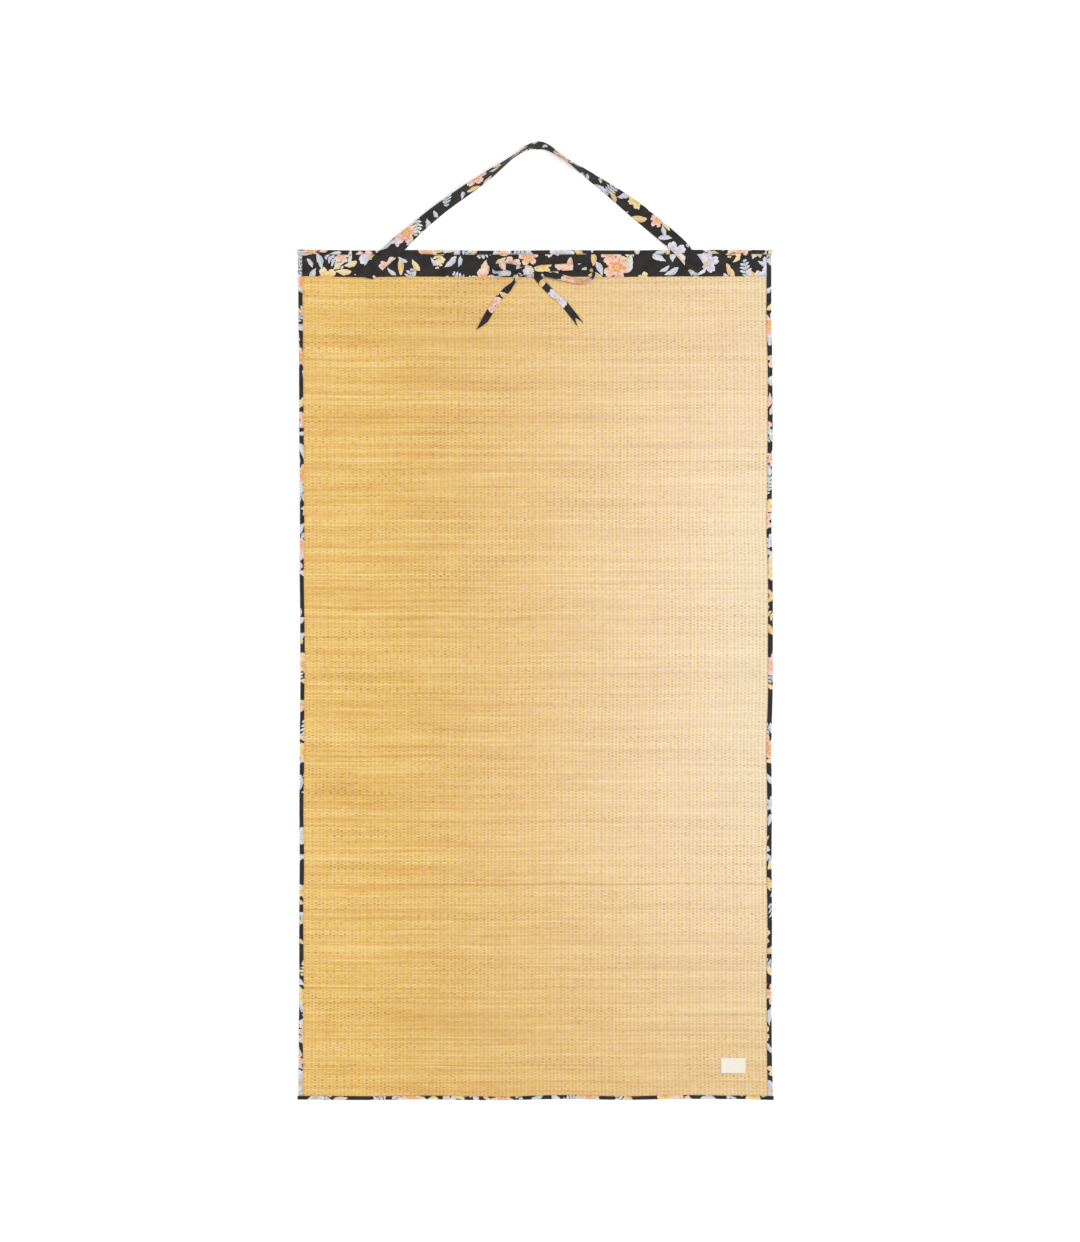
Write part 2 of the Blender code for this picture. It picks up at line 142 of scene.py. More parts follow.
# Carry strap: x and y of its middle line, height of its lowest edge in mm, and tilt in degrees
STRAP = (
    (-0.3662, 0.8436, 4.2, 0),
    (-0.3354, 0.8728, 5.7, 0),
    (-0.3036, 0.9014, 5.8, 6),
    (-0.2815, 0.9204, 5.6, 26),
    (-0.2588, 0.9409, 2.4, 41),
    (-0.2241, 0.9707, 0.0, 48),
    (-0.1901, 0.9969, 0.0, 53),
    (-0.1562, 1.0206, 0.0, 55),
    (-0.1266, 1.0409, 0.0, 59),
    (-0.0969, 1.0614, 0.0, 67),
    (-0.0718, 1.0796, 0.0, 80),
    (-0.0459, 1.0990, 0.0, 89),
    (-0.0215, 1.1142, 0.0, 80),
    (0.0036, 1.1209, 0.0, 70),
    (0.0265, 1.1152, 0.0, 78),
    (0.0620, 1.0918, 0.0, 90),
    (0.0875, 1.0740, 0.0, 80),
    (0.1130, 1.0561, 0.0, 69),
    (0.1386, 1.0377, 0.0, 59),
    (0.1645, 1.0195, 0.0, 48),
    (0.1901, 1.0010, 0.0, 32),
    (0.2197, 0.9783, 0.0, 10),
    (0.2536, 0.9502, 2.2, 5),
    (0.2800, 0.9280, 5.2, 2),
    (0.3045, 0.9057, 5.8, 0),
    (0.3268, 0.8802, 5.7, 0),
    (0.3443, 0.8538, 4.2, 0),
)

# The bow's loops, each from the knot round to the knot again, and its two free tails
LOOP_RIGHT = (
    (-0.0130, 0.8600, 8.6, 2),
    (0.0060, 0.8612, 9.2, 6),
    (0.0290, 0.8622, 9.4, 8),
    (0.0580, 0.8638, 8.8, 12),
    (0.0860, 0.8650, 7.6, 20),
    (0.1070, 0.8632, 6.2, 44),
    (0.1200, 0.8550, 5.0, 64),
    (0.1195, 0.8425, 4.5, 66),
    (0.1050, 0.8348, 4.3, 50),
    (0.0835, 0.8362, 4.3, 36),
    (0.0582, 0.8418, 4.4, 28),
    (0.0298, 0.8486, 4.6, 20),
    (0.0060, 0.8536, 4.8, 10),
    (-0.0130, 0.8560, 5.0, 2),
)
LOOP_LEFT = (
    (-0.0270, 0.8565, 5.0, 2),
    (-0.0420, 0.8546, 4.8, 12),
    (-0.0570, 0.8526, 4.6, 24),
    (-0.0730, 0.8512, 4.5, 40),
    (-0.0878, 0.8532, 4.5, 62),
    (-0.0925, 0.8594, 5.0, 74),
    (-0.0878, 0.8648, 6.0, 60),
    (-0.0750, 0.8662, 7.6, 30),
    (-0.0570, 0.8642, 8.8, 14),
    (-0.0420, 0.8618, 9.2, 6),
    (-0.0270, 0.8600, 8.6, 2),
)
TAIL_LEFT = (
    (-0.0270, 0.8575, 6.4, 8),
    (-0.0385, 0.8462, 5.2, 16),
    (-0.0500, 0.8292, 3.8, 14),
    (-0.0645, 0.8143, 2.9, -6),
    (-0.0800, 0.7990, 2.9, 10),
    (-0.0925, 0.7805, 3.4, 8),
    (-0.1015, 0.7650, 2.9, -6),
    (-0.1085, 0.7520, 2.9, -16),
    (-0.1147, 0.7400, 2.9, -26),
)
TAIL_RIGHT = (
    (-0.0130, 0.8580, 6.6, 0),
    (-0.0010, 0.8468, 5.2, 8),
    (0.0218, 0.8213, 3.3, 6),
    (0.0400, 0.8040, 3.8, -4),
    (0.0570, 0.7885, 2.9, 6),
    (0.0720, 0.7710, 2.9, 0),
    (0.0850, 0.7545, 3.6, -6),
    (0.0940, 0.7418, 2.9, 0),
)
STRAP_CUT = math.radians(-33)
TAIL_LEFT_CUT = math.radians(-62)
CUT_FADE = 0.03
FORK_DEPTH = 19.0 * MM
FORK_REACH = 1.6  # how far back the fork draws the cloth with it, as a share of its depth
FORK_SHARPNESS = 1.5

# How the knot gathers a ribbon: the share of its width left there, and how soon it spreads again
PINCHED = 0.45
PINCH_LENGTH = 0.026
TAIL_LEFT_HELD = 0.030
GATHER_HEIGHT = 0.9 * MM
GATHER_WAVES = 2.2
GATHER_REACH = 2.4

# Knot: a crosswise lump with one turn of ribbon over it
Lump = namedtuple("Lump", "half_x half_y half_z rise turn pleats along_x")
KNOT_MIDDLE = (-0.0200, 0.8575)
KNOT_LUMPS = (
    Lump(17.0 * MM, 9.5 * MM, 4.8 * MM, 3.6 * MM, math.radians(4), 2.0 * MM, True),
    Lump(8.2 * MM, 11.8 * MM, 6.0 * MM, 3.4 * MM, math.radians(-14), 2.4 * MM, False),
)
PLEAT_DEPTH = 0.35 * MM
KNOT_ROUND = 72
KNOT_RINGS = 40

# The weave: straw stems lie across the mat, and warp threads run along it
WARP_PITCH = 7.75 * MM
WARPS = 128
STEMS = 600
STEM_SPREAD = 0.22  # how much the stems differ in width, as a share
STEM_WIDTH_SEED = 5
STEM_HEIGHT_SEED = 11
PANEL_PARTS = 4
STEM_TOP = 2.22 * MM
STEM_RISE = 0.26 * MM
STEM_DEEP = 0.62 * MM
STEM_ROUGH = 0.10 * MM
UNDER_DEEP = 0.55 * MM
UNDER_COLUMNS = 16

# Stitches. Their profile gives places along one as shares of its length, and its height and thickness
# there as shares of its radius.
Stitch = namedtuple("Stitch", "pitch length radius")
SEAM = Stitch(4.0 * MM, 2.8 * MM, 0.24 * MM)
FINE_SEAM = Stitch(2.8 * MM, 1.9 * MM, 0.19 * MM)
SEAM_INSET = 2.0 * MM
FINE_INSET = 1.5 * MM
STITCH_PROFILE = np.array((
    (-0.5, -0.6, 0.35),
    (-0.36, 0.35, 0.9),
    (0.0, 0.75, 1.0),
    (0.36, 0.35, 0.9),
    (0.5, -0.6, 0.35),
))
STITCH_ROUND = 4
STITCH_SHIFT = 0.1  # how far along its thread each stitch lies from the one before
CROSS_SEAMS = (0.004, 0.046, -0.042, -0.004)  # places along the strap, those below 0 from its far end
UP = np.array((0.0, 0.0, 1.0))

# Where on the printed cloth each piece was cut
CUT_FROM = {
    "band": (1.30, 0.236),
    "binding_top": (1.85, 0.3575),
    "binding_bottom": (1.25, 1.2558),
    "binding_left": (0.95, 0.3628),
    "binding_right": (1.25, 0.7094),
    "strap": (0.90, 1.309),
    "knot": (0.61, 1.37),
    "loop_left": (0.32, 0.8849),
    "loop_right": (1.50, 1.0689),
    "tail_left": (0.64, 0.9729),
    "tail_right": (1.22, 0.3849),
}

# Small random unevenness of the shapes, and how far some of it slants
Wave = namedtuple("Wave", "height length seed")
PANEL_SLANT = 3
BAND_SLANT = 2.5
LABEL_SLANT = 2
PANEL_ROUGH = Wave(0.12 * MM, 0.11, 31)
STEM_SWAY = Wave(0.5 * MM, 0.07, 17)
SWAY_CHANGE = Wave(1.0, 0.16, 18)
SIDE_EDGE = Wave(0.10 * MM, 0.010, 7)
END_EDGE = Wave(0.10 * MM, 0.010, 8)
BAND_ROUGH = Wave(0.10 * MM, 0.025, 63)
BAND_EDGE = Wave(0.25 * MM, 0.013, 64)
STRAP_CREASE = Wave(0.35 * MM, 0.016, 71)
RIBBON_CREASE = Wave(0.30 * MM, 0.014, 81)
LABEL_ROUGH = Wave(0.10 * MM, 0.012, 91)
WAVE_KNOTS = 997
WAVE_START = 400
PUCKER = 0.14 * MM
PUCKER_FINE = 0.012
PUCKER_WIDE = 0.045
SIDE_SEED = 40
END_SEED = 50
BAND_SEED = 61


def eased(share):
    share = np.clip(share, 0.0, 1.0)
    return share * share * (3 - 2 * share)


def points_of(*parts):
    """Points made of their coordinates."""
    return np.stack(np.broadcast_arrays(*parts), axis=-1)


def placed(x, y, angle, middle):
    """Places in plan, turned by an angle and set about a middle."""
    sine, cosine = math.sin(angle), math.cos(angle)
    return middle[0] + x * cosine - y * sine, middle[1] + x * sine + y * cosine


def drift(rows, place, column):
    """How far out an edge lies at places along it, eased from row to row."""
    at = rows[:, 0]
    out = MM * rows[:, column]
    span = np.clip(np.searchsorted(at, place) - 1, 0, len(at) - 2)
    share = (place - at[span]) / (at[span + 1] - at[span])
    return out[span] + (out[span + 1] - out[span]) * eased(share)


def settled(x, y, z):
    """Moves points of the straight-edged pattern to where the mat's edges really run."""
    across = x / MAT_WIDTH + 0.5
    along = y / MAT_LENGTH + 0.5
    moved_x = x + drift(SIDES, y, RIGHT) * across - drift(SIDES, y, LEFT) * (1 - across)
    moved_y = y + drift(ENDS, x, HEAD) * along - drift(ENDS, x, FOOT) * (1 - along)
    return points_of(moved_x, moved_y, z)


def wander(places, wave):
    """Smooth numbers up to a wave's height that change at random over about its length."""
    knots = np.random.default_rng(wave.seed).uniform(-1, 1, WAVE_KNOTS)
    at = np.asarray(places) / wave.length + WAVE_START
    low = np.floor(at).astype(int)
    share = eased(at - low)
    return wave.height * (knots[low % WAVE_KNOTS] * (1 - share) + knots[(low + 1) % WAVE_KNOTS] * share)


def distances(line):
    """Distance along a line of points at each of them."""
    steps = np.linalg.norm(np.diff(line, axis=0), axis=1)
    return np.concatenate([[0.0], np.cumsum(steps)])


def length_round(section):
    """Distance round a closed section at each point, and once more at the start."""
    return distances(np.concatenate([section, section[:1]]))


def point_at(place, gone, line):
    """The point at a distance along a line."""
    return np.array([np.interp(place, gone, line[:, axis]) for axis in range(3)])


def squares(grid):
    """The corners of each square of a grid, in order round it."""
    corners = np.stack([grid[:-1, :-1], grid[:-1, 1:], grid[1:, 1:], grid[1:, :-1]], axis=2)
    return corners.reshape(-1, 4, *grid.shape[2:])


Shell = namedtuple("Shell", "points blocks places")


def facing_out(points, blocks, places):
    """A closed shell with its faces pointing out. Each block is an array of faces with one corner
    count, and places gives those corners' places on the cloth or the weave."""
    volume = 0.0
    for block in blocks:
        first = points[block[:, 0]]
        for number in range(1, block.shape[1] - 1):
            turned = np.cross(points[block[:, number]], points[block[:, number + 1]])
            volume += (first * turned).sum()
    if volume > 0:
        return Shell(points, blocks, places)
    return Shell(points, [block[:, ::-1] for block in blocks], [part[:, ::-1] for part in places])


def swept_shell(rows, along, around, cap=None):
    """A shell round a swept section, given as rows of points. along and around are the cloth's places,
    and around also says where the section comes back to its first point. A cap gives the faces over
    an end by the section's point numbers. Without one each end is a single face."""
    count, size = rows.shape[:2]
    if cap is None:
        cap = [np.arange(size)[None]]
    numbers = np.arange(count * size).reshape(count, size)
    grid = points_of(np.asarray(along)[:, None], around)
    blocks = [squares(np.concatenate([numbers, numbers[:, :1]], axis=1))]
    places = [squares(grid)]
    for part in cap:
        turned = part[:, ::-1]
        blocks += [numbers[0][turned], numbers[-1][part]]
        places += [grid[0][turned], grid[-1][part]]
    return facing_out(rows.reshape(-1, 3), blocks, places)


def cloth_shell(rows, along, section, cut=(0.0, 0.0), cap=None):
    """A shell round a swept section whose cloth was cut from that place on the print."""
    return swept_shell(rows, along + cut[0], length_round(section) + cut[1], cap)


def add_piece(name, shells, material, replaced=None, map_name="cloth"):
    """Makes one piece out of closed shells. replaced is the solid that it stands for, if there is one."""
    points = np.concatenate([shell.points for shell in shells])
    starts = np.cumsum([0] + [len(shell.points) for shell in shells])
    blocks = [block + start for shell, start in zip(shells, starts) for block in shell.blocks]
    corners = np.concatenate([block.ravel() for block in blocks])
    sizes = np.concatenate([np.full(len(block), block.shape[1]) for block in blocks])
    places = np.concatenate([part.reshape(-1, 2) for shell in shells for part in shell.places])
    mesh = bpy.data.meshes.new(name)
    mesh.vertices.add(len(points))
    mesh.vertices.foreach_set("co", points.ravel())
    mesh.loops.add(len(corners))
    mesh.polygons.add(len(sizes))
    mesh.polygons.foreach_set("loop_start", np.cumsum(sizes) - sizes)
    mesh.polygons.foreach_set("vertices", corners)
    layer = mesh.uv_layers.new(name=map_name, do_init=False)
    layer.uv.foreach_set("vector", places.ravel())
    mesh.update(calc_edges=True)
    mesh.validate()
    mesh.shade_smooth()
    mesh.materials.append(material)
    piece = bpy.data.objects.new(name, mesh)
    bpy.context.scene.collection.objects.link(piece)
    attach(piece, "root")
    if replaced:
        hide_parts(replaced)
    return piece


def operator(operation):
    """A sign between what a node gives and a number, or what another node gives."""
    return lambda value, other: value.nodes.math(operation, value, other)


class Value:
    """What a node gives, in a form that takes part in sums as numbers do."""

    __add__ = operator("ADD")
    __sub__ = operator("SUBTRACT")
    __mul__ = operator("MULTIPLY")
    __truediv__ = operator("DIVIDE")
    __mod__ = operator("FLOORED_MODULO")
    __pow__ = operator("POWER")

    def __init__(self, nodes, socket):
        self.nodes = nodes
        self.socket = socket

    def __rsub__(self, other):
        return self.nodes.math("SUBTRACT", other, self)

    def __abs__(self):
        return self.nodes.math("ABSOLUTE", self)


class Nodes:
    """Short calls for building a material out of nodes."""

    def __init__(self, name):
        self.material = bpy.data.materials.new(name)
        self.material.use_nodes = True
        self.tree = self.material.node_tree
        self.shader = self.tree.nodes["Principled BSDF"]

    def fill(self, node, inputs):
        """Links a node's inputs to what other nodes give, or sets them to plain values."""
        for key, value in inputs.items():
            if isinstance(value, Value):
                self.tree.links.new(value.socket, node.inputs[key])
            else:
                node.inputs[key].default_value = value

    def node(self, kind, inputs, **settings):
        node = self.tree.nodes.new("ShaderNode" + kind)
        for key, value in settings.items():
            setattr(node, key, value)
        self.fill(node, inputs)
        return node

    def add(self, kind, inputs, output=0, **settings):
        return Value(self, self.node(kind, inputs, **settings).outputs[output])

    def several(self, node, count):
        """The first outputs of a node."""
        return [Value(self, node.outputs[number]) for number in range(count)]

    def math(self, operation, *values):
        return self.add("Math", dict(enumerate(values)), operation=operation)

    def most(self, first, *others):
        for other in others:
            first = self.math("MAXIMUM", first, other)
        return first

    def vector(self, operation, *values):
        return self.add("VectorMath", dict(enumerate(values)), operation=operation)

    def turned(self, vector, angle):
        return self.add("VectorRotate", {"Vector": vector, "Angle": angle}, rotation_type="Z_AXIS")

    def uv(self, name):
        return self.add("UVMap", {}, uv_map=name)

    def split(self, vector):
        return self.several(self.node("SeparateXYZ", {0: vector}), 2)

    def join(self, x, y):
        return self.add("CombineXYZ", {0: x, 1: y})

    def step(self, value, low, high, from_value=0.0, to_value=1.0):
        """Eases from one value to another as value goes from low to high."""
        inputs = {0: value, 1: low, 2: high, 3: from_value, 4: to_value}
        return self.add("MapRange", inputs, interpolation_type="SMOOTHSTEP")

    def noise(self, vector, scale, detail=2.0, output=0, dimensions="2D"):
        key = "W" if dimensions == "1D" else "Vector"
        inputs = {key: vector, "Scale": scale, "Detail": detail}
        return self.add("TexNoise", inputs, output, noise_dimensions=dimensions)

    def random(self, value):
        return self.add("TexWhiteNoise", {"W": value}, noise_dimensions="1D")

    def mix(self, share, first, second, blend="MIX"):
        inputs = {0: share, 6: first, 7: second}
        return self.add("Mix", inputs, 2, data_type="RGBA", blend_type=blend)

    def filtered(self, colour, red, green, blue):
        """The colour with each of its channels made darker or lighter by a factor."""
        return self.mix(1.0, colour, self.add("CombineColor", {0: red, 1: green, 2: blue}), "MULTIPLY")

    def shaded(self, colour, tone):
        return self.filtered(colour, tone, tone, tone)

    def ramp(self, value, stops, kind="LINEAR"):
        node = self.node("ValToRGB", {0: value})
        node.color_ramp.interpolation = kind
        elements = node.color_ramp.elements
        while len(elements) < len(stops):
            elements.new(0.5)
        for element, (place, colour) in zip(elements, stops):
            element.position = place
            element.color = colour
        return Value(self, node.outputs[0])

    def inks(self, kind, table):
        """The two colours of one row of a table, chosen by a random number."""
        columns = [[(row[0], row[number]) for row in table] for number in (1, 2)]
        return [self.ramp(kind, stops, "CONSTANT") for stops in columns]

    def finish(self, colour, roughness, bump, depth, sheen=0.0, specular=0.3):
        """Fills in the shader. depth is the size in metres of the height that bump gives."""
        normal = self.add("Bump", {"Height": bump, "Distance": depth, "Strength": 1.0})
        self.fill(self.shader, {
            "Base Color": colour,
            "Roughness": roughness,
            "Normal": normal,
            "Sheen Weight": sheen,
            "Sheen Roughness": 0.5,
            "Specular IOR Level": specular,
        })
        return self.material


def linear(red, green, blue):
    """A colour as read off a screen, 0 to 255, in the renderer's linear values."""
    values = [channel / 255 for channel in (red, green, blue)]
    return (*(v / 12.92 if v <= 0.04045 else ((v + 0.055) / 1.055) ** 2.4 for v in values), 1)


STRAW_TONES = (
    (0.12, linear(203, 150, 70)),
    (0.34, linear(223, 174, 90)),
    (0.52, linear(234, 191, 108)),
    (0.70, linear(242, 206, 128)),
    (0.90, linear(250, 223, 156)),
)
# Pale colour of the painted glare on the straw towards the right
STRAW_GLARE = linear(246, 230, 205)
STRAW_FLECK = linear(150, 104, 56)
WARP_THREAD = linear(226, 198, 148)
MIDDLE_TONE = 0.53
# The most that the painted glare covers the straw's own colour
GLARE_SHARE = 0.88
SHADE_POWERS = (0.72, 1.0, 1.55)  # shade takes more blue than red out of straw


def straw_look():
    """Straw stems with their own tones, streaks and fibres, with painted shade between them and in the
    dents where a warp thread crosses, and painted glare towards the right.
    """
    nodes = Nodes("straw")
    across, along = nodes.split(nodes.uv("weave"))  # counted in warp threads and in stems
    stem = nodes.math("FLOOR", along)
    in_stem = along - stem
    warp = nodes.math("ROUND", across)
    off_warp = abs(across - warp)
    under_thread = (stem + warp) % 2.0

    def uneven(scale_across, scale_along, lines=along, detail=2.0):
        """Noise over the weave, with its scale across the mat and along it."""
        return nodes.noise(nodes.join(across * scale_across, lines * scale_along), 1.0, detail)

    # A stem shows from one thread over it to the next, two threads on
    shown = nodes.math("FLOOR", (across + stem + 1.0) * 0.5)
    own = nodes.random(stem)
    bands = nodes.noise(along, 0.07, 2.0, dimensions="1D")
    groups = uneven(0.012, 0.45)
    streaks = uneven(0.05, 3.71, stem, 1.0)
    patches = uneven(0.05, 0.09)
    fibres = uneven(0.7, 7.0)
    lengths = nodes.random(shown * 17.3 + stem * 3.7)
    tone = MIDDLE_TONE
    for part, weight in (
        (own, 0.17),
        (bands, 0.20),
        (groups, 0.42),
        (streaks, 0.34),
        (patches, 0.20),
        (fibres, 0.36),
        (lengths, 0.10),
    ):
        tone = (part - 0.5) * weight + tone
    colour = nodes.ramp(tone, STRAW_TONES)

    # Painted glare: the stems are warmer at the left and paler at the right, most of all half-way up
    from_left = nodes.step(across, -46.0, 80.0)
    to_head = nodes.step(along, 60.0, 330.0, 1.0, 0.76)
    to_foot = nodes.step(along, -330.0, -60.0, 0.50, 1.0)
    pale = nodes.shaded(STRAW_GLARE, (tone - MIDDLE_TONE) * 0.25 + 1.0)
    colour = nodes.mix(from_left * (to_head * to_foot) * GLARE_SHARE, colour, pale)

    # Some stems are yellower than others, from one crossing to the next too
    yellow = nodes.step(uneven(0.75, 0.31, detail=3.0), 0.34, 0.66, -0.5, 0.5)
    yellow = yellow * nodes.step(across, -40.0, 60.0, 0.42, 0.24)
    colour = nodes.filtered(colour, 1.0, 1.0, yellow + 1.0)

    # Brown flecks, long and soft, on the crest of a stem
    side = abs(in_stem - 0.5)
    fleck = nodes.step(nodes.noise(nodes.join(across, stem * 5.3), 0.9, 0.0), 0.70, 0.88)
    fleck = fleck * nodes.step(side, 0.10, 0.42, 0.34, 0.0)
    colour = nodes.mix(fleck, colour, STRAW_FLECK)

    # How deep the painted shade in the dents is, deepest where a thread lies under a tight stem
    near = nodes.step(off_warp, 0.0, 0.50, 1.0, 0.0)
    own_dent = nodes.random(warp * 13.7 + stem)
    tight = nodes.step(uneven(0.03, 0.05), 0.30, 0.70, 0.55, 1.35)
    deepest = nodes.step(across, -50.0, 20.0, 0.38, 0.26)
    tight_stem = nodes.step(uneven(0.03, 2.3, stem, 1.0), 0.35, 0.68, 0.08, deepest)
    dent_size = (own_dent + 0.45) * under_thread * tight_stem * tight
    dent_size = dent_size + nodes.step(across, -60.0, -10.0, 0.03, 0.085)

    # Shade: between the stems, in the dents, and slowly over the mat
    groove = nodes.step(side, 0.30, 0.5, 1.0, 0.78)
    columns = nodes.step(nodes.noise(across, 0.8, 2.0, dimensions="1D"), 0.25, 0.75, 0.975, 1.025)
    light = nodes.step(across, -62.0, -24.0, 1.055, 1.0)
    to_ends = nodes.step(abs(along), 130.0, 250.0, 0.0, 0.032) * nodes.step(across, -50.0, -25.0)
    shade = groove * (1.0 - near * dent_size) * (columns * (light - to_ends))
    colour = nodes.filtered(colour, *(shade**power for power in SHADE_POWERS))

    thread = nodes.step(off_warp, 0.035, 0.055, 1.0, 0.0) * under_thread
    colour = nodes.mix(thread * 0.75, colour, WARP_THREAD)
    roughness = nodes.step(streaks, 0.2, 0.8, 0.62, 0.48)
    return nodes.finish(colour, roughness, fibres * 0.5 + thread * 0.9, 0.25 * MM, specular=0.35)


# The print's colours. Each row of inks has the random number it starts from, a colour and its shade.
GROUND = linear(44, 41, 40)
GROUND_WORN = linear(55, 51, 51)
OUTLINE = linear(246, 238, 224)
SPRIG_INKS = (
    (0.00, linear(216, 224, 232), linear(170, 186, 202)),
    (0.38, linear(226, 224, 238), linear(182, 180, 210)),
    (0.66, linear(236, 238, 230), linear(190, 202, 198)),
    (0.84, linear(247, 230, 176), linear(228, 188, 112)),
)
LEAF_INKS = (
    (0.00, linear(210, 220, 225), linear(166, 184, 196)),
    (0.24, linear(245, 228, 168), linear(226, 188, 106)),
    (0.42, linear(222, 220, 234), linear(184, 182, 208)),
    (0.58, linear(244, 212, 198), linear(230, 166, 140)),
    (0.70, linear(224, 232, 234), linear(184, 199, 206)),
    (0.86, linear(241, 209, 138), linear(220, 164, 90)),
)
PETAL_INKS = (
    (0.00, linear(248, 219, 206), linear(233, 152, 120)),
    (0.34, linear(249, 228, 176), linear(238, 186, 102)),
    (0.58, linear(233, 231, 241), linear(190, 188, 214)),
    (0.78, linear(248, 212, 188), linear(231, 144, 106)),
)
FLOWER_MIDDLE = linear(250, 214, 120)
FLOWER_EYE = linear(96, 66, 50)
INNER_PETALS = 0.62
THREAD_PITCH = 0.55 * MM


def motif_frame(nodes, cloth, layer):
    """Scatters one layer of motifs over the cloth. Gives the place within the nearest one, in metres,
    two random numbers of its own, and whether that place holds a motif at all."""
    moved = nodes.vector("ADD", nodes.turned(cloth, layer.turn), (*layer.shift, 0.0))
    inputs = {"Vector": moved, "Scale": 1 / layer.cell, "Randomness": layer.jitter}
    cells = nodes.node("TexVoronoi", inputs, voronoi_dimensions="2D", feature="F1")
    colour = Value(nodes, cells.outputs["Color"])
    away = nodes.vector("SUBTRACT", moved, Value(nodes, cells.outputs["Position"]))
    turn, kind, present = nodes.several(nodes.node("SeparateColor", {0: colour}), 3)
    return away, turn, kind, nodes.math("LESS_THAN", present, layer.share)


def leaf_frame(nodes, cloth, layer, length, width, bend):
    """As motif_frame, for leaves and sprigs: the place along the nearest one from -1 to 1, the place
    across it from its bent middle line, how wide it may be there, a random number of its own, and
    whether it is there at all."""
    away, turn, kind, here = motif_frame(nodes, cloth, layer)
    x, y = nodes.split(nodes.turned(away, turn * (math.tau * 2)))
    x = x / (length / 2)
    y = y / (width / 2)
    square = x * x
    return x, y - (square - 0.3) * bend, nodes.most(1.0 - square, 0.0), kind, here


def add_leaves(nodes, colour, cloth, layer, length, width):
    """Paints pointed leaves with a pale edge, a midrib and a shaded half over colour."""
    x, y, taper, kind, here = leaf_frame(nodes, cloth, layer, length, width, 0.35)
    off = abs(y)
    inside = taper * (x * -0.35 + 0.92) - off
    body, dark = nodes.inks(kind, LEAF_INKS)
    veins = nodes.step(nodes.math("SINE", x * 17.0 - off * 9.0), 0.45, 1.0, 0.0, 0.5)
    washed = nodes.step(nodes.noise(cloth, 260.0, 3.0), 0.42, 0.62, 0.0, 0.45)
    lower_half = nodes.step(y, -0.10, 0.10, 0.62, 0.0)
    paint = nodes.mix(nodes.most(veins, lower_half, washed), body, dark)
    rib = nodes.step(off, 0.05, 0.10, 0.8, 0.0)
    edge = nodes.step(inside, 0.08, 0.20, 0.75, 0.0)
    paint = nodes.mix(nodes.most(rib, edge), paint, OUTLINE)
    return nodes.mix(nodes.step(inside, 0.0, 0.08) * here, colour, paint)


def add_sprigs(nodes, colour, cloth, layer, length, width):
    """Paints bent sprigs with pairs of slanting leaflets over colour."""
    x, y, taper, kind, here = leaf_frame(nodes, cloth, layer, length, width, 0.30)
    off = abs(y)
    slanted = x * 3.5 - off * 0.9
    number = nodes.math("FLOOR", slanted)
    own = nodes.random(number + nodes.math("SIGN", y) * 31.0)
    part = off / nodes.most(taper * (own * 0.35 + 0.62), 0.02)
    bulge = nodes.math("SQRT", part) * nodes.most(1.0 - part, 0.0)
    leaflet = bulge * 1.05 - abs(slanted - number - 0.5)
    stalk = (taper - 0.30) * 0.13 - off
    inside = nodes.math("MINIMUM", nodes.most(leaflet, stalk), taper - 0.28)
    body, dark = nodes.inks(kind, SPRIG_INKS)
    brushed = part + nodes.noise(cloth, 420.0, 2.0)
    paint = nodes.mix(nodes.step(brushed, 0.55, 1.15, 0.9, 0.0), body, dark)
    paint = nodes.mix(nodes.step(leaflet, 0.03, 0.10, 0.7, 0.0), paint, OUTLINE)
    return nodes.mix(nodes.step(inside, 0.0, 0.05) * here, colour, paint)


def add_petals(nodes, colour, flower, petals, size, here):
    """Paints one ring of notched petals, each partly under its neighbour, over colour."""
    angle, reach, kind, tips, hearts = flower
    petal = angle * (petals / math.tau)
    nearest = nodes.math("ROUND", petal)
    aside = petal - nearest
    off = abs(aside)
    lobe = nodes.math("COSINE", off * math.pi) ** 0.6
    notch = nodes.step(off, 0.0, 0.12, 0.09, 0.0)
    own = nodes.random(nearest % float(petals) + kind * 9.0) * 0.20
    inside = (lobe * 0.52 + 0.48 - (notch + own)) * size - reach
    brushed = nodes.noise(nodes.join(petal * 7.0, reach * 1.5), 1.0, 2.0) - 0.5
    depth = reach / size + brushed * 0.9
    paint = nodes.mix(nodes.step(depth, 0.25, 0.85), hearts, tips)
    paint = nodes.mix(nodes.step(aside, 0.14, 0.50, 0.0, 0.75), paint, hearts)
    paint = nodes.mix(nodes.step(inside, 0.02, 0.07, 0.85, 0.0), paint, OUTLINE)
    return nodes.mix(nodes.step(inside, 0.0, 0.03) * here, colour, paint)


def add_flowers(nodes, colour, cloth, layer, radius, petals):
    """Paints double blossoms, one ring of petals inside another, with a speckled golden middle."""
    away, turn, kind, here = motif_frame(nodes, cloth, layer)
    x, y = nodes.split(away)
    distance = nodes.add("VectorMath", {0: away}, 1, operation="LENGTH")
    reach = distance / ((turn * 0.30 + 0.74) * radius)
    angle = nodes.math("ARCTAN2", y, x) + turn * (math.tau * 3)
    tips, hearts = nodes.inks(kind, PETAL_INKS)
    outer = (angle, reach, kind, tips, hearts)
    inner = (angle + math.pi / petals, reach, kind + 5.0, tips, hearts)
    colour = add_petals(nodes, colour, outer, petals, 1.0, here)
    colour = add_petals(nodes, colour, inner, petals, INNER_PETALS, here)
    colour = nodes.mix(nodes.step(reach, 0.15, 0.19, 1.0, 0.0) * here, colour, FLOWER_MIDDLE)
    specks = nodes.step(nodes.noise(cloth, 900.0, 0.0), 0.52, 0.60)
    eye = nodes.step(reach, 0.10, 0.15, 0.8, 0.0) * here
    return nodes.mix(specks * eye, colour, FLOWER_EYE)


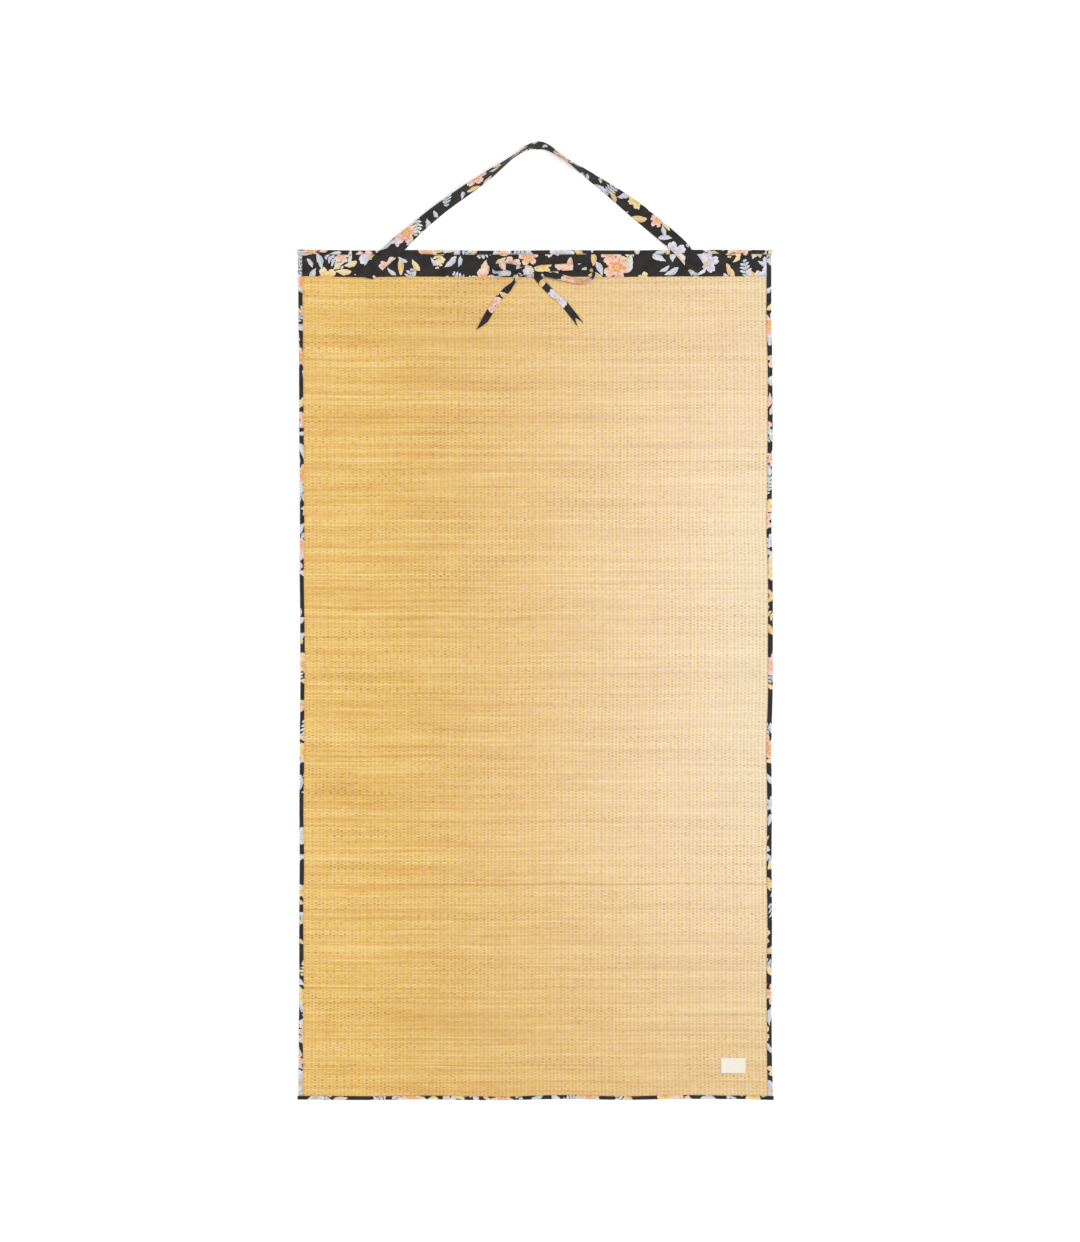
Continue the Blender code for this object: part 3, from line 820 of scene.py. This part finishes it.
# Layers of motifs, the lowest first. The size of leaves and sprigs is their length and width, and that
# of flowers is their radius and how many petals they have.
Layer = namedtuple("Layer", "paint cell jitter turn shift share size")
PRINT = (
    Layer(add_leaves, 0.044, 0.36, 0.3, (3.1, 3.7), 0.72, (0.031, 0.0130)),
    Layer(add_sprigs, 0.078, 0.30, 0.9, (3.7, 4.9), 0.77, (0.056, 0.0320)),
    Layer(add_flowers, 0.088, 0.30, 0.5, (3.2, 4.4), 0.72, (0.031, 5)),
    Layer(add_leaves, 0.050, 0.36, 1.2, (4.7, 3.1), 0.63, (0.036, 0.0140)),
    Layer(add_flowers, 0.083, 0.30, 1.1, (5.1, 4.3), 0.50, (0.024, 6)),
    Layer(add_leaves, 0.041, 0.36, 0.7, (5.9, 3.7), 0.60, (0.024, 0.0095)),
)


def woven(nodes, cloth):
    """Waves across the threads both ways."""
    warp, weft = (nodes.math("SINE", axis * (math.tau / THREAD_PITCH)) for axis in nodes.split(cloth))
    return warp * weft


def printed_cotton_look():
    """Plain-weave cotton, dark, printed all over with loose flowers and leaves."""
    nodes = Nodes("printed_cotton")
    cloth = nodes.uv("cloth")  # metres along and across the cloth
    shaken = nodes.vector("SUBTRACT", nodes.noise(cloth, 130.0, 3.0, 1), (0.5, 0.5, 0.5))
    shaken = nodes.add("VectorMath", {0: shaken, "Scale": 4.5 * MM}, operation="SCALE")
    painted = nodes.vector("MULTIPLY", nodes.vector("ADD", cloth, shaken), (1.0, 1.0, 0.0))
    washed = nodes.noise(cloth, 40.0, 3.0)
    colour = nodes.mix(nodes.step(washed, 0.3, 0.7), GROUND, GROUND_WORN)
    for layer in PRINT:
        colour = layer.paint(nodes, colour, painted, layer, *layer.size)
    # Painted shade between the threads of the weave and painted light on their crowns
    threads = woven(nodes, cloth)
    colour = nodes.shaded(colour, nodes.step(threads, -1.0, 1.0, 0.88, 1.06))
    height = threads * 0.10 + nodes.noise(cloth, 55.0, 3.0) * 1.2
    return nodes.finish(colour, 0.86, height, 0.6 * MM, sheen=0.08, specular=0.15)


def label_look():
    """A woven satin label, left blank."""
    nodes = Nodes("label_weave")
    cloth = nodes.uv("cloth")
    threads = woven(nodes, cloth)
    uneven = nodes.noise(cloth, 120.0, 3.0)
    colour = nodes.mix(uneven, linear(236, 230, 212), linear(247, 242, 228))
    # Painted shade between the threads of the weave and painted light on their crowns
    colour = nodes.shaded(colour, nodes.step(threads, -1.0, 1.0, 0.90, 1.04))
    return nodes.finish(colour, 0.62, threads * 0.3 + uneven, 0.15 * MM, sheen=0.2, specular=0.35)


def thread_look(name, colour):
    """Twisted sewing thread."""
    nodes = Nodes(name)
    along, around = nodes.split(nodes.uv("cloth"))
    twist = nodes.math("SINE", along * 6000.0 + around * 6.0)
    shade = nodes.shaded(colour, nodes.step(twist, -1.0, 1.0, 0.72, 1.1))
    return nodes.finish(shade, 0.7, twist, 0.05 * MM, sheen=0.1)


straw = straw_look()
printed_cotton = printed_cotton_look()
label_weave = label_look()
dark_thread = thread_look("dark_thread", linear(58, 55, 54))
pale_thread = thread_look("pale_thread", linear(232, 226, 208))


def weave_columns():
    """Places across the panel: at each warp thread and half-way between, and at both edges."""
    edge = HALF_WIDTH - TUCKED
    inner = np.arange(-WARPS, WARPS + 1)
    xs = np.concatenate([[-edge], inner * WARP_PITCH / 2, [edge]])
    return xs, np.concatenate([[-edge / WARP_PITCH], inner / 2, [edge / WARP_PITCH]])


def stem_lines():
    """Places along the panel: the edges and the crest of each stem, and the count of stems there."""
    edge = HALF_LENGTH - TUCKED
    widths = 1 + np.random.default_rng(STEM_WIDTH_SEED).uniform(-STEM_SPREAD, STEM_SPREAD, STEMS)
    edges = np.concatenate([[0.0], np.cumsum(widths)])
    edges = edges / edges[-1] * 2 * edge - edge
    lines = np.sort(np.concatenate([edges, (edges[:-1] + edges[1:]) / 2]))
    return lines, np.arange(len(lines)) / 2 - STEMS / 2


def panel_heights(across, along, warp, stem):
    """Heights of the panel's upper and lower face, with the stems standing out on both."""
    line = np.rint(stem * 2 + STEMS).astype(int)
    crest = line % 2 == 1
    rough = STEM_ROUGH * np.random.default_rng(STEM_HEIGHT_SEED).uniform(-1, 1, STEMS * 2 + 1)[line]
    from_edge = np.minimum(HALF_WIDTH - np.abs(across), HALF_LENGTH - np.abs(along))
    free = eased((from_edge - RIM) / RIM_SLOPE)
    high = STEM_TOP - STEM_RISE * np.cos(np.pi * (warp + np.floor(stem))) + rough
    low = STEM_TOP - STEM_DEEP + rough
    top = np.where(crest, high, low) + wander(across + along * PANEL_SLANT, PANEL_ROUGH)
    top = np.where(free < 1, np.minimum(top, STRAW), top)
    under = np.where(crest, 0.0, UNDER_DEEP) * free + UNDER_STRAW * (1 - free)
    return top, under, free


def panel_part(number, xs, warps, ys, stems):
    """One length of the woven panel, as a closed sheet."""
    across, along = np.meshgrid(xs, ys)
    warp, stem = np.meshgrid(warps, stems)
    top, under, free = panel_heights(across, along, warp, stem)
    swayed = along + wander(across, STEM_SWAY) * wander(along, SWAY_CHANGE) * free
    upper = settled(across, swayed, top)
    lower = settled(across, swayed, under)

    kept = np.unique(np.concatenate([np.arange(0, len(xs), UNDER_COLUMNS), [len(xs) - 1]]))
    lower = lower[:, kept]
    tops = np.arange(across.size).reshape(across.shape)
    unders = across.size + np.arange(len(ys) * len(kept)).reshape(len(ys), len(kept))

    def wall(high_line, low_line):
        return points_of(high_line[:-1], high_line[1:], low_line[1:], low_line[:-1])

    blocks = [
        squares(tops),
        squares(unders)[:, ::-1],
        wall(tops[:, 0], unders[:, 0]),
        wall(tops[:, -1], unders[:, -1])[:, ::-1],
    ]
    for row, turned in ((0, -1), (-1, 1)):
        for place, (start, stop) in enumerate(zip(kept, kept[1:])):
            corners = [*tops[row, start : stop + 1], unders[row, place + 1], unders[row, place]]
            blocks.append(np.array([corners])[:, ::turned])
    counted = points_of(warp, stem)
    weave_map = np.concatenate([counted.reshape(-1, 2), counted[:, kept].reshape(-1, 2)])
    points = np.concatenate([upper.reshape(-1, 3), lower.reshape(-1, 3)])
    shell = facing_out(points, blocks, [weave_map[block] for block in blocks])
    return add_piece(f"straw_panel_{number}", [shell], straw, "straw_panel", "weave")


def make_panel():
    xs, warps = weave_columns()
    ys, stems = stem_lines()
    lines = (len(ys) - 1) // PANEL_PARTS
    parts = []
    for number in range(PANEL_PARTS):
        chosen = slice(number * lines, (number + 1) * lines + 1)
        part = panel_part(number + 1, xs, warps, ys[chosen], stems[chosen])
        parts.append(part)
    return parts


STRIP_CORNERS = 3


def rounded_strip(width, thick, flats):
    """A flat strip's section with rounded edges, as (across, through): its underside, then its top."""
    deep = thick / 2
    turns = np.linspace(-math.pi / 2, math.pi / 2, STRIP_CORNERS + 2)[1:-1]
    inner = width / 2 - deep
    across = np.linspace(-inner, inner, flats)
    right = points_of(inner + deep * np.cos(turns), deep * np.sin(turns))
    return np.concatenate([points_of(across, -deep), right, points_of(across[::-1], deep), -right])


def strip_cap(flats):
    """The end of such a strip as a row of small faces, which leaves a notch in it open."""
    around = 2 * (flats + STRIP_CORNERS)
    left = around - (STRIP_CORNERS + 1) // 2
    steps = np.arange(around // 2 + 1)
    low = (left + steps) % around
    high = (left - steps) % around
    quads = points_of(low[1:-2], low[2:-1], high[2:-1], high[1:-2])
    tips = np.array([[low[0], low[1], high[1]], [low[-2], low[-1], high[-2]]])
    return [quads, tips]


def upper_columns(flats):
    """Numbers of the points on a rounded strip's upper face, from one edge to the other."""
    return list(range(flats + STRIP_CORNERS, 2 * flats + STRIP_CORNERS))


def folded_outline(width, top):
    """Outline of a binding folded over an edge, as (distance in from the edge, height)."""
    half = COTTON / 2
    turns = np.concatenate([np.zeros(BINDING_FLATS), np.linspace(0, math.pi / 2, BINDING_CORNERS)])
    outward = points_of(-np.sin(turns), -np.cos(turns))
    flat = np.linspace(width - half, FOLD_ROUND, BINDING_FLATS + 1)[:-1]
    centres = points_of(np.append(flat, [FOLD_ROUND] * BINDING_CORNERS), FOLD_ROUND)
    lower = centres + (FOLD_ROUND - half) * outward
    mirror = (1, -1)
    middle = np.concatenate([lower, lower[::-1] * mirror + (0, top)])
    outward = np.concatenate([outward, outward[::-1] * mirror])
    outside = middle + outward * half
    inside = (middle - outward * half)[::-1]
    return np.concatenate([outside, [middle[-1] + (half, 0)], inside, [middle[0] + (half, 0)]])


def side_top(y):
    """Height of a side binding: it steps up over the ends of the printed strip."""
    return SIDE_TOP + (HEAD_TOP - SIDE_TOP) * eased((y - BAND_FOOT + STEP_UP) / STEP_UP)


def waver(place):
    """The bindings' slight change of width along their length."""
    return WIDTH_WAVER * math.sin(math.tau * place / WAVER_LENGTH)


def pucker(place, inward, width, seed):
    """How far sewn cloth lifts between its stitches, most of all half-way to the fold."""
    profile = np.sin(np.pi * np.clip(inward / width, 0, 1)) ** 2
    fine = wander(place, Wave(1.0, PUCKER_FINE, seed))
    return PUCKER * (fine + wander(place, Wave(0.8, PUCKER_WIDE, seed + 1))) * profile


def binding_section(place, width, top, edge, seed):
    """A binding's outline at one place along it, as distances in from the edge and heights."""
    wide = width + waver(place) + wander(place, edge)
    inward, height = folded_outline(wide, top).T
    return inward, height + np.where(height > top / 2, pucker(place, inward, wide, seed), 0)


def sewn_binding(name, rows, places, outline):
    rows = np.array(rows)
    shell = cloth_shell(rows, places, outline, CUT_FROM[name])
    return add_piece(name + "_cloth", [shell], printed_cotton, name), rows


def side_binding(name, side, width):
    """One long binding. side is -1 on the left and 1 on the right."""
    low = -HALF_LENGTH + END_FOOT + WIDTH_WAVER + GAP
    high = HALF_LENGTH - END_HEAD - WIDTH_WAVER - GAP
    places = np.linspace(low, high, round((high - low) / BINDING_STEP))
    rows = []
    for y in places:
        inward, height = binding_section(y, width, side_top(y), SIDE_EDGE, SIDE_SEED + side)
        rows.append(settled(side * (HALF_WIDTH - inward), y, height))
    return sewn_binding(name, rows, places, folded_outline(width, SIDE_TOP))


def end_binding(name, end, width, top):
    """One short binding, its ends turned in. end is -1 at the foot and 1 at the head."""
    outer = HALF_WIDTH + FOLDED_END
    wall = HALF_WIDTH - COTTON
    inner = np.linspace(-wall, wall, round(2 * wall / BINDING_STEP))
    ends = np.array(TIP_ROWS)
    places = np.concatenate([-(wall + ends[::-1]), inner, wall + ends])
    rows = []
    for x in places:
        inward, height = binding_section(x, width, top, END_EDGE, END_SEED + end)
        off = height - top / 2
        # Past the wall, the inner points of the fold close up on each other
        closed = eased((abs(x) - wall) / ends[0])
        inside = (inward > 0.9 * COTTON) & (np.abs(off) < top / 2 - 0.6 * COTTON)
        off = np.where(inside, off * (1 - closed), off)
        to_tip = max(abs(x) - outer + TIP_ROUND, 0) / TIP_ROUND
        height = top / 2 + off * (1 - TIP_DRAWN * to_tip**2)
        rows.append(settled(x, end * (HALF_LENGTH - inward), height))
    return sewn_binding(name, rows, places, folded_outline(width, top))


def seam_line(rows, columns, inset, ups=UP):
    """A line along a swept piece, that far in from the first of those points of its section, with the
    direction out of the cloth at each of its points."""
    line = [point_at(inset, distances(points), points) for points in rows[:, columns]]
    return np.array(line), np.broadcast_to(ups, (len(line), 3))


def cross_line(row, columns, up=UP):
    """A line across a swept piece at one of its rows."""
    return row[columns], np.broadcast_to(up, (len(columns), 3))


def stitch_shell(start, stop, up, stitch, number):
    """A short bowed thread with pointed ends."""
    turns = np.linspace(0, math.tau, STITCH_ROUND, endpoint=False)
    size = np.linalg.norm(stop - start)
    forward = (stop - start) / size
    up = up - forward * (up @ forward)
    up = up / np.linalg.norm(up)
    round_it = np.outer(np.cos(turns), np.cross(up, forward)) + np.outer(np.sin(turns), up)
    centre = (start + stop) / 2
    rings = []
    for along, rise, thickness in STITCH_PROFILE:
        ring = centre + forward * along * size + up * rise * stitch.radius
        rings.append(ring + stitch.radius * thickness * round_it)
    along = STITCH_PROFILE[:, 0] * size + number * STITCH_SHIFT
    return swept_shell(np.array(rings), along, np.linspace(0, 1, STITCH_ROUND + 1))


def make_stitches(name, lines, stitch, material):
    """Even stitches along lines of points."""
    shells = []
    for line, ups in lines:
        gone = distances(line)
        count = int((gone[-1] - stitch.length) // stitch.pitch)
        margin = (gone[-1] - count * stitch.pitch) / 2
        for number in range(count + 1):
            middle = margin + number * stitch.pitch
            start = point_at(middle - stitch.length / 2, gone, line)
            stop = point_at(middle + stitch.length / 2, gone, line)
            shells.append(stitch_shell(start, stop, point_at(middle, gone, ups), stitch, number))
    return add_piece(name, shells, material)


def make_band():
    """The printed strip across the head, its lower edge turned under."""
    width = HALF_LENGTH - TUCKED - BAND_FOOT
    section = rounded_strip(width, COTTON, BAND_FLATS)
    across, through = section.T
    from_foot = across + width / 2
    outer = HALF_WIDTH - TUCKED
    places = np.linspace(-outer, outer, BAND_SECTIONS)
    x = places[:, None]
    free_side = eased((outer - np.abs(x) - BAND_TUCK_SIDE) / BAND_FREE_SIDE)
    free_head = eased((width - BAND_TUCK_HEAD - from_foot) / BAND_FREE_HEAD)
    lift = pucker(x, from_foot, BAND_PUCKER, BAND_SEED) + wander(x + from_foot * BAND_SLANT, BAND_ROUGH)
    uneven = wander(x, BAND_EDGE) * (1 - eased(from_foot / BAND_TURN))
    height = ON_STRAW + COTTON / 2 + through + np.where(through > 0, lift * free_side * free_head, 0)
    rows = settled(x, BAND_FOOT + from_foot + uneven, height)
    shell = cloth_shell(rows, places, section, CUT_FROM["band"])
    return add_piece("band_cloth", [shell], printed_cotton, "top_band"), rows


def smooth(values, steps, within=False):
    """A smooth curve through values at even steps. Where within is true, it never passes beyond them."""
    rises = np.diff(values)
    first = np.append(0.0, rises)
    second = np.append(rises, 0.0)
    slopes = (first + second) / 2
    if within:
        agreed = np.maximum(first * second, 0.0)
        slopes = agreed / np.where(agreed > 0, slopes, 1.0)
    places = np.arange(len(rises) * steps + 1) / steps
    span = np.minimum(places.astype(int), len(rises) - 1)
    share = places - span
    rise = rises[span]
    slope_in = slopes[span]
    slope_out = slopes[span + 1]
    return (
        np.array(values)[span]
        + slope_in * share
        + (3 * rise - 2 * slope_in - slope_out) * share**2
        + (slope_in + slope_out - 2 * rise) * share**3
    )


# Cloth of a strap: its size, the steps between its stations, the points across it, how hollow it is
# along its middle, its creases, how far they slant, and how much they die down between swells
Cloth = namedtuple("Cloth", "width thick steps flats hollow crease slant calm")
STRAP_CLOTH = Cloth(35.0 * MM, 1.6 * MM, 11, 12, 0.30 * MM, STRAP_CREASE, 0.02, 0.6)
RIBBON_CLOTH = Cloth(14.5 * MM, 1.0 * MM, 8, 9, 0.0, RIBBON_CREASE, 0.01, 0.0)
SWELL_TURNS = 9
Ribbon = namedtuple("Ribbon", "rows ups gone")


def swept_ribbon(stations, cloth, cuts, held=(None, None)):
    """A flat strap along its stations, tilted about its middle line so that its lowest edge is at lift.

    cuts are the slants of its two ends. held is how far from each end the knot keeps it gathered, and
    None for a free end.
    """
    xs, ys, lifts, tilts = zip(*stations)
    middles = points_of(smooth(xs, cloth.steps), smooth(ys, cloth.steps), 0.0)
    lifts = MM * smooth(lifts, cloth.steps, within=True)
    tilts = np.radians(smooth(tilts, cloth.steps, within=True))
    gone = distances(middles)
    ahead = np.concatenate([middles[1:], middles[-1:]]) - np.concatenate([middles[:1], middles[:-1]])
    rows, ups = [], []
    for middle, lift, tilt, forward, from_start in zip(middles, lifts, tilts, ahead, gone):
        forward = forward / np.linalg.norm(forward)
        outward = np.cross(UP, forward)
        across = outward * math.cos(tilt) + UP * math.sin(tilt)
        through = UP * math.cos(tilt) - outward * math.sin(tilt)
        slant = 0.0
        spread = 1.0
        gather = 0.0
        for cut, hold, past in zip(cuts, held, (from_start, gone[-1] - from_start)):
            slant += math.tan(cut) * (1 - min(past / CUT_FADE, 1))
            if hold is not None:
                spread *= PINCHED + (1 - PINCHED) * eased((past - hold) / PINCH_LENGTH)
                gather = max(gather, 1 - eased((past - hold) / (GATHER_REACH * PINCH_LENGTH)))
        wide = cloth.width * spread
        height = lift + abs(math.sin(tilt)) * wide / 2 + math.cos(tilt) * cloth.thick / 2
        side, deep = rounded_strip(wide, cloth.thick, cloth.flats).T
        share = side / wide
        swell = 1 - cloth.calm * (1 - abs(math.sin(from_start * SWELL_TURNS)))
        crease = wander(from_start + cloth.slant * share, cloth.crease) * swell - cloth.hollow
        pleats = GATHER_HEIGHT * gather * np.cos(share * math.tau * GATHER_WAVES)
        deep = deep + crease * np.cos(np.pi * share) + pleats
        centre = middle + UP * height
        rows.append(centre + np.outer(side, across + forward * slant) + np.outer(deep, through))
        ups.append(through)
    return Ribbon(np.array(rows), np.array(ups), gone)


def ribbon_shell(ribbon, cloth, cut):
    section = rounded_strip(cloth.width, cloth.thick, cloth.flats)
    return cloth_shell(ribbon.rows, ribbon.gone, section, CUT_FROM[cut], strip_cap(cloth.flats))


def make_strap():
    strap = swept_ribbon(STRAP, STRAP_CLOTH, (STRAP_CUT, 0.0))
    shell = ribbon_shell(strap, STRAP_CLOTH, "strap")
    return add_piece("strap_cloth", [shell], printed_cotton, "carry_strap"), strap


def knot_shell(lump, cut):
    """A flattened ball of ribbon with pleats, sitting on the strip."""
    turns = np.linspace(0, math.tau, KNOT_ROUND, endpoint=False)
    levels = np.linspace(0.0, math.pi, KNOT_RINGS + 1)[1:-1]
    level, turn = np.meshgrid(levels, turns, indexing="ij")
    long = np.cos(level)
    short = np.sin(level) * np.cos(turn)
    x, y = (long, short) if lump.along_x else (short, long)
    wave = short * (lump.half_y if lump.along_x else lump.half_x)
    pleat = 1 + PLEAT_DEPTH / lump.half_z * np.cos(wave * math.pi / lump.pleats) * np.sin(level)
    height = ON_BAND + lump.rise + np.sin(level) * np.sin(turn) * lump.half_z * pleat
    plan = placed(x * lump.half_x * pleat, y * lump.half_y * pleat, lump.turn, KNOT_MIDDLE)
    size = max(lump.half_x, lump.half_y)
    around = np.linspace(0, math.pi * size, KNOT_ROUND + 1)
    rows = points_of(*plan, np.maximum(height, ON_BAND))
    return swept_shell(rows, levels * size + cut[0], around + cut[1])


def forked(ribbon, cloth):
    """Draws the end of a tail back at its middle, so that it ends in a fork."""
    rows = ribbon.rows.copy()
    side = rounded_strip(cloth.width, cloth.thick, cloth.flats)[:, 0]
    depth = FORK_DEPTH * (1 - (np.abs(side) / (cloth.width / 2)) ** FORK_SHARPNESS)
    reach = FORK_REACH * FORK_DEPTH
    for number, gone in enumerate(ribbon.gone):
        to_end = ribbon.gone[-1] - gone
        if to_end > reach:
            continue
        for point, place in enumerate(gone - depth * (1 - to_end / reach)):
            rows[number, point] = point_at(place, ribbon.gone, ribbon.rows[:, point])
    return Ribbon(rows, ribbon.ups, ribbon.gone)


def make_tie():
    """The bow: knot, two loops and two free tails."""
    shells = [knot_shell(lump, CUT_FROM["knot"]) for lump in KNOT_LUMPS]
    ribbons = []
    for stations, slants, held, cut in (
        (LOOP_LEFT, (0.0, 0.0), (0.0, 0.0), "loop_left"),
        (LOOP_RIGHT, (0.0, 0.0), (0.0, 0.0), "loop_right"),
        (TAIL_LEFT, (0.0, TAIL_LEFT_CUT), (TAIL_LEFT_HELD, None), "tail_left"),
        (TAIL_RIGHT, (0.0, 0.0), (0.0, None), "tail_right"),
    ):
        ribbon = swept_ribbon(stations, RIBBON_CLOTH, slants, held)
        if stations is TAIL_RIGHT:
            ribbon = forked(ribbon, RIBBON_CLOTH)
        ribbons.append(ribbon)
        shells.append(ribbon_shell(ribbon, RIBBON_CLOTH, cut))
    return add_piece("tie_bow", shells, printed_cotton, "tie"), ribbons


def make_label():
    """The woven label, flat on the straw and raised a little between its stitches."""
    section = rounded_strip(LABEL_HEIGHT, LABEL_THICK, LABEL_FLATS)
    across, through = section.T
    places = np.linspace(-LABEL_WIDTH / 2, LABEL_WIDTH / 2, LABEL_SECTIONS)
    along = places[:, None]
    from_end = LABEL_WIDTH / 2 - np.abs(along)
    to_edge = np.minimum(from_end, LABEL_HEIGHT / 2 - np.abs(across))
    sag = LABEL_SAG * (1 - eased(to_edge / LABEL_SAG_REACH))
    rolled = LABEL_ROLL * np.maximum(0, 1 - from_end / LABEL_ROLL_REACH)
    lift = wander(along + across * LABEL_SLANT, LABEL_ROUGH) - sag - rolled
    height = ON_STRAW + COTTON / 2 + through + np.where(through > 0, lift, 0)
    rows = points_of(*placed(along, across, LABEL_TURN, LABEL_MIDDLE), height)
    shell = cloth_shell(rows, places, section)
    return add_piece("label_cloth", [shell], label_weave, "label"), rows


panel = make_panel()
band, band_rows = make_band()
bindings = (
    side_binding("binding_left", -1, SIDE_LEFT),
    side_binding("binding_right", 1, SIDE_RIGHT),
    end_binding("binding_top", 1, END_HEAD, HEAD_TOP),
    end_binding("binding_bottom", -1, END_FOOT, SIDE_TOP),
)
strap, strap_line = make_strap()
tie, tie_lines = make_tie()
label, label_rows = make_label()

binding_lines = [seam_line(rows, BINDING_UPPER, SEAM_INSET - COTTON / 2) for made, rows in bindings]
make_stitches("binding_seams", binding_lines, SEAM, dark_thread)

band_lines = [seam_line(band_rows, upper_columns(BAND_FLATS)[::-1], SEAM_INSET)]
make_stitches("band_seam", band_lines, SEAM, dark_thread)

# Along both edges of the strap, on both faces, and across it where it is sewn to the strip
strap_inset = SEAM_INSET - STRAP_CLOTH.thick / 2
strap_upper = upper_columns(STRAP_CLOTH.flats)
strap_lower = list(range(STRAP_CLOTH.flats))
strap_lines = []
for columns, ups in ((strap_upper, strap_line.ups), (strap_lower, -strap_line.ups)):
    for chain in (columns, columns[::-1]):
        strap_lines.append(seam_line(strap_line.rows, chain, strap_inset, ups))
for place in CROSS_SEAMS:
    place = place % strap_line.gone[-1]
    row = int(np.argmin(np.abs(strap_line.gone - place)))
    strap_lines.append(cross_line(strap_line.rows[row], strap_upper, strap_line.ups[row]))
make_stitches("strap_seams", strap_lines, SEAM, dark_thread)

tie_inset = FINE_INSET - RIBBON_CLOTH.thick / 2
tie_columns = upper_columns(RIBBON_CLOTH.flats)
tie_seams = [seam_line(line.rows, tie_columns, tie_inset, line.ups) for line in tie_lines]
make_stitches("tie_seams", tie_seams, FINE_SEAM, dark_thread)

label_columns = upper_columns(LABEL_FLATS)
label_seams = [seam_line(label_rows, chain, FINE_INSET) for chain in (label_columns, label_columns[::-1])]
label_seams += [cross_line(label_rows[row], label_columns[1:-1]) for row in (1, -2)]
make_stitches("label_seams", label_seams, FINE_SEAM, pale_thread)

# Floor, light and camera
FLOOR_GLOW = 0.22  # fades the shade on the floor, which the photo lacks
FLOOR_DROP = 0.2 * MM
WORLD_LIGHT = 0.45
scene = bpy.context.scene
scene.view_settings.view_transform = "Standard"

bpy.ops.mesh.primitive_plane_add(size=40, location=(0, 0, -FLOOR_DROP))
floor = bpy.context.object
floor.name = "floor"
floor_nodes = Nodes("floor")
floor_grain = floor_nodes.noise(floor_nodes.add("TexCoord", {}, 3), 3.0)
floor_colour = floor_nodes.mix(floor_grain, (0.96, 0.96, 0.96, 1), (0.98, 0.98, 0.98, 1))
floor.data.materials.append(floor_nodes.finish(floor_colour, 0.9, floor_grain, 0.01 * MM, specular=0.1))
floor_nodes.fill(floor_nodes.shader, {"Emission Color": (1, 1, 1, 1), "Emission Strength": FLOOR_GLOW})

world = bpy.data.worlds.new("studio")
world.use_nodes = True
background = world.node_tree.nodes["Background"]
background.inputs["Color"].default_value = (1, 1, 1, 1)
background.inputs["Strength"].default_value = WORLD_LIGHT
scene.world = world

Light = namedtuple("Light", "name place aim size power")
for light in (
    Light("key", (2.7, 1.5, 6.3), (0.0, 0.1, 0.0), 3.5, 272),
    Light("fill", (-3.2, -2.4, 5.6), (0.0, 0.1, 0.0), 4.0, 108),
):
    lamp = bpy.data.lights.new(light.name, "AREA")
    lamp.size = light.size
    lamp.energy = light.power
    holder = bpy.data.objects.new(light.name, lamp)
    holder.location = light.place
    holder.rotation_euler = (Vector(light.aim) - Vector(light.place)).to_track_quat("-Z", "Y").to_euler()
    scene.collection.objects.link(holder)

# The photo is taken straight down, and its frame is 2.632 m high
FRAME_MIDDLE = (0.0078, 0.1153)
FRAME_HEIGHT = 2.632
camera_data = bpy.data.cameras.new("camera")
camera_data.lens = 100
camera_data.sensor_width = 36
camera = bpy.data.objects.new("camera", camera_data)
camera.location = (*FRAME_MIDDLE, FRAME_HEIGHT * camera_data.lens / camera_data.sensor_width)
scene.collection.objects.link(camera)
scene.camera = camera
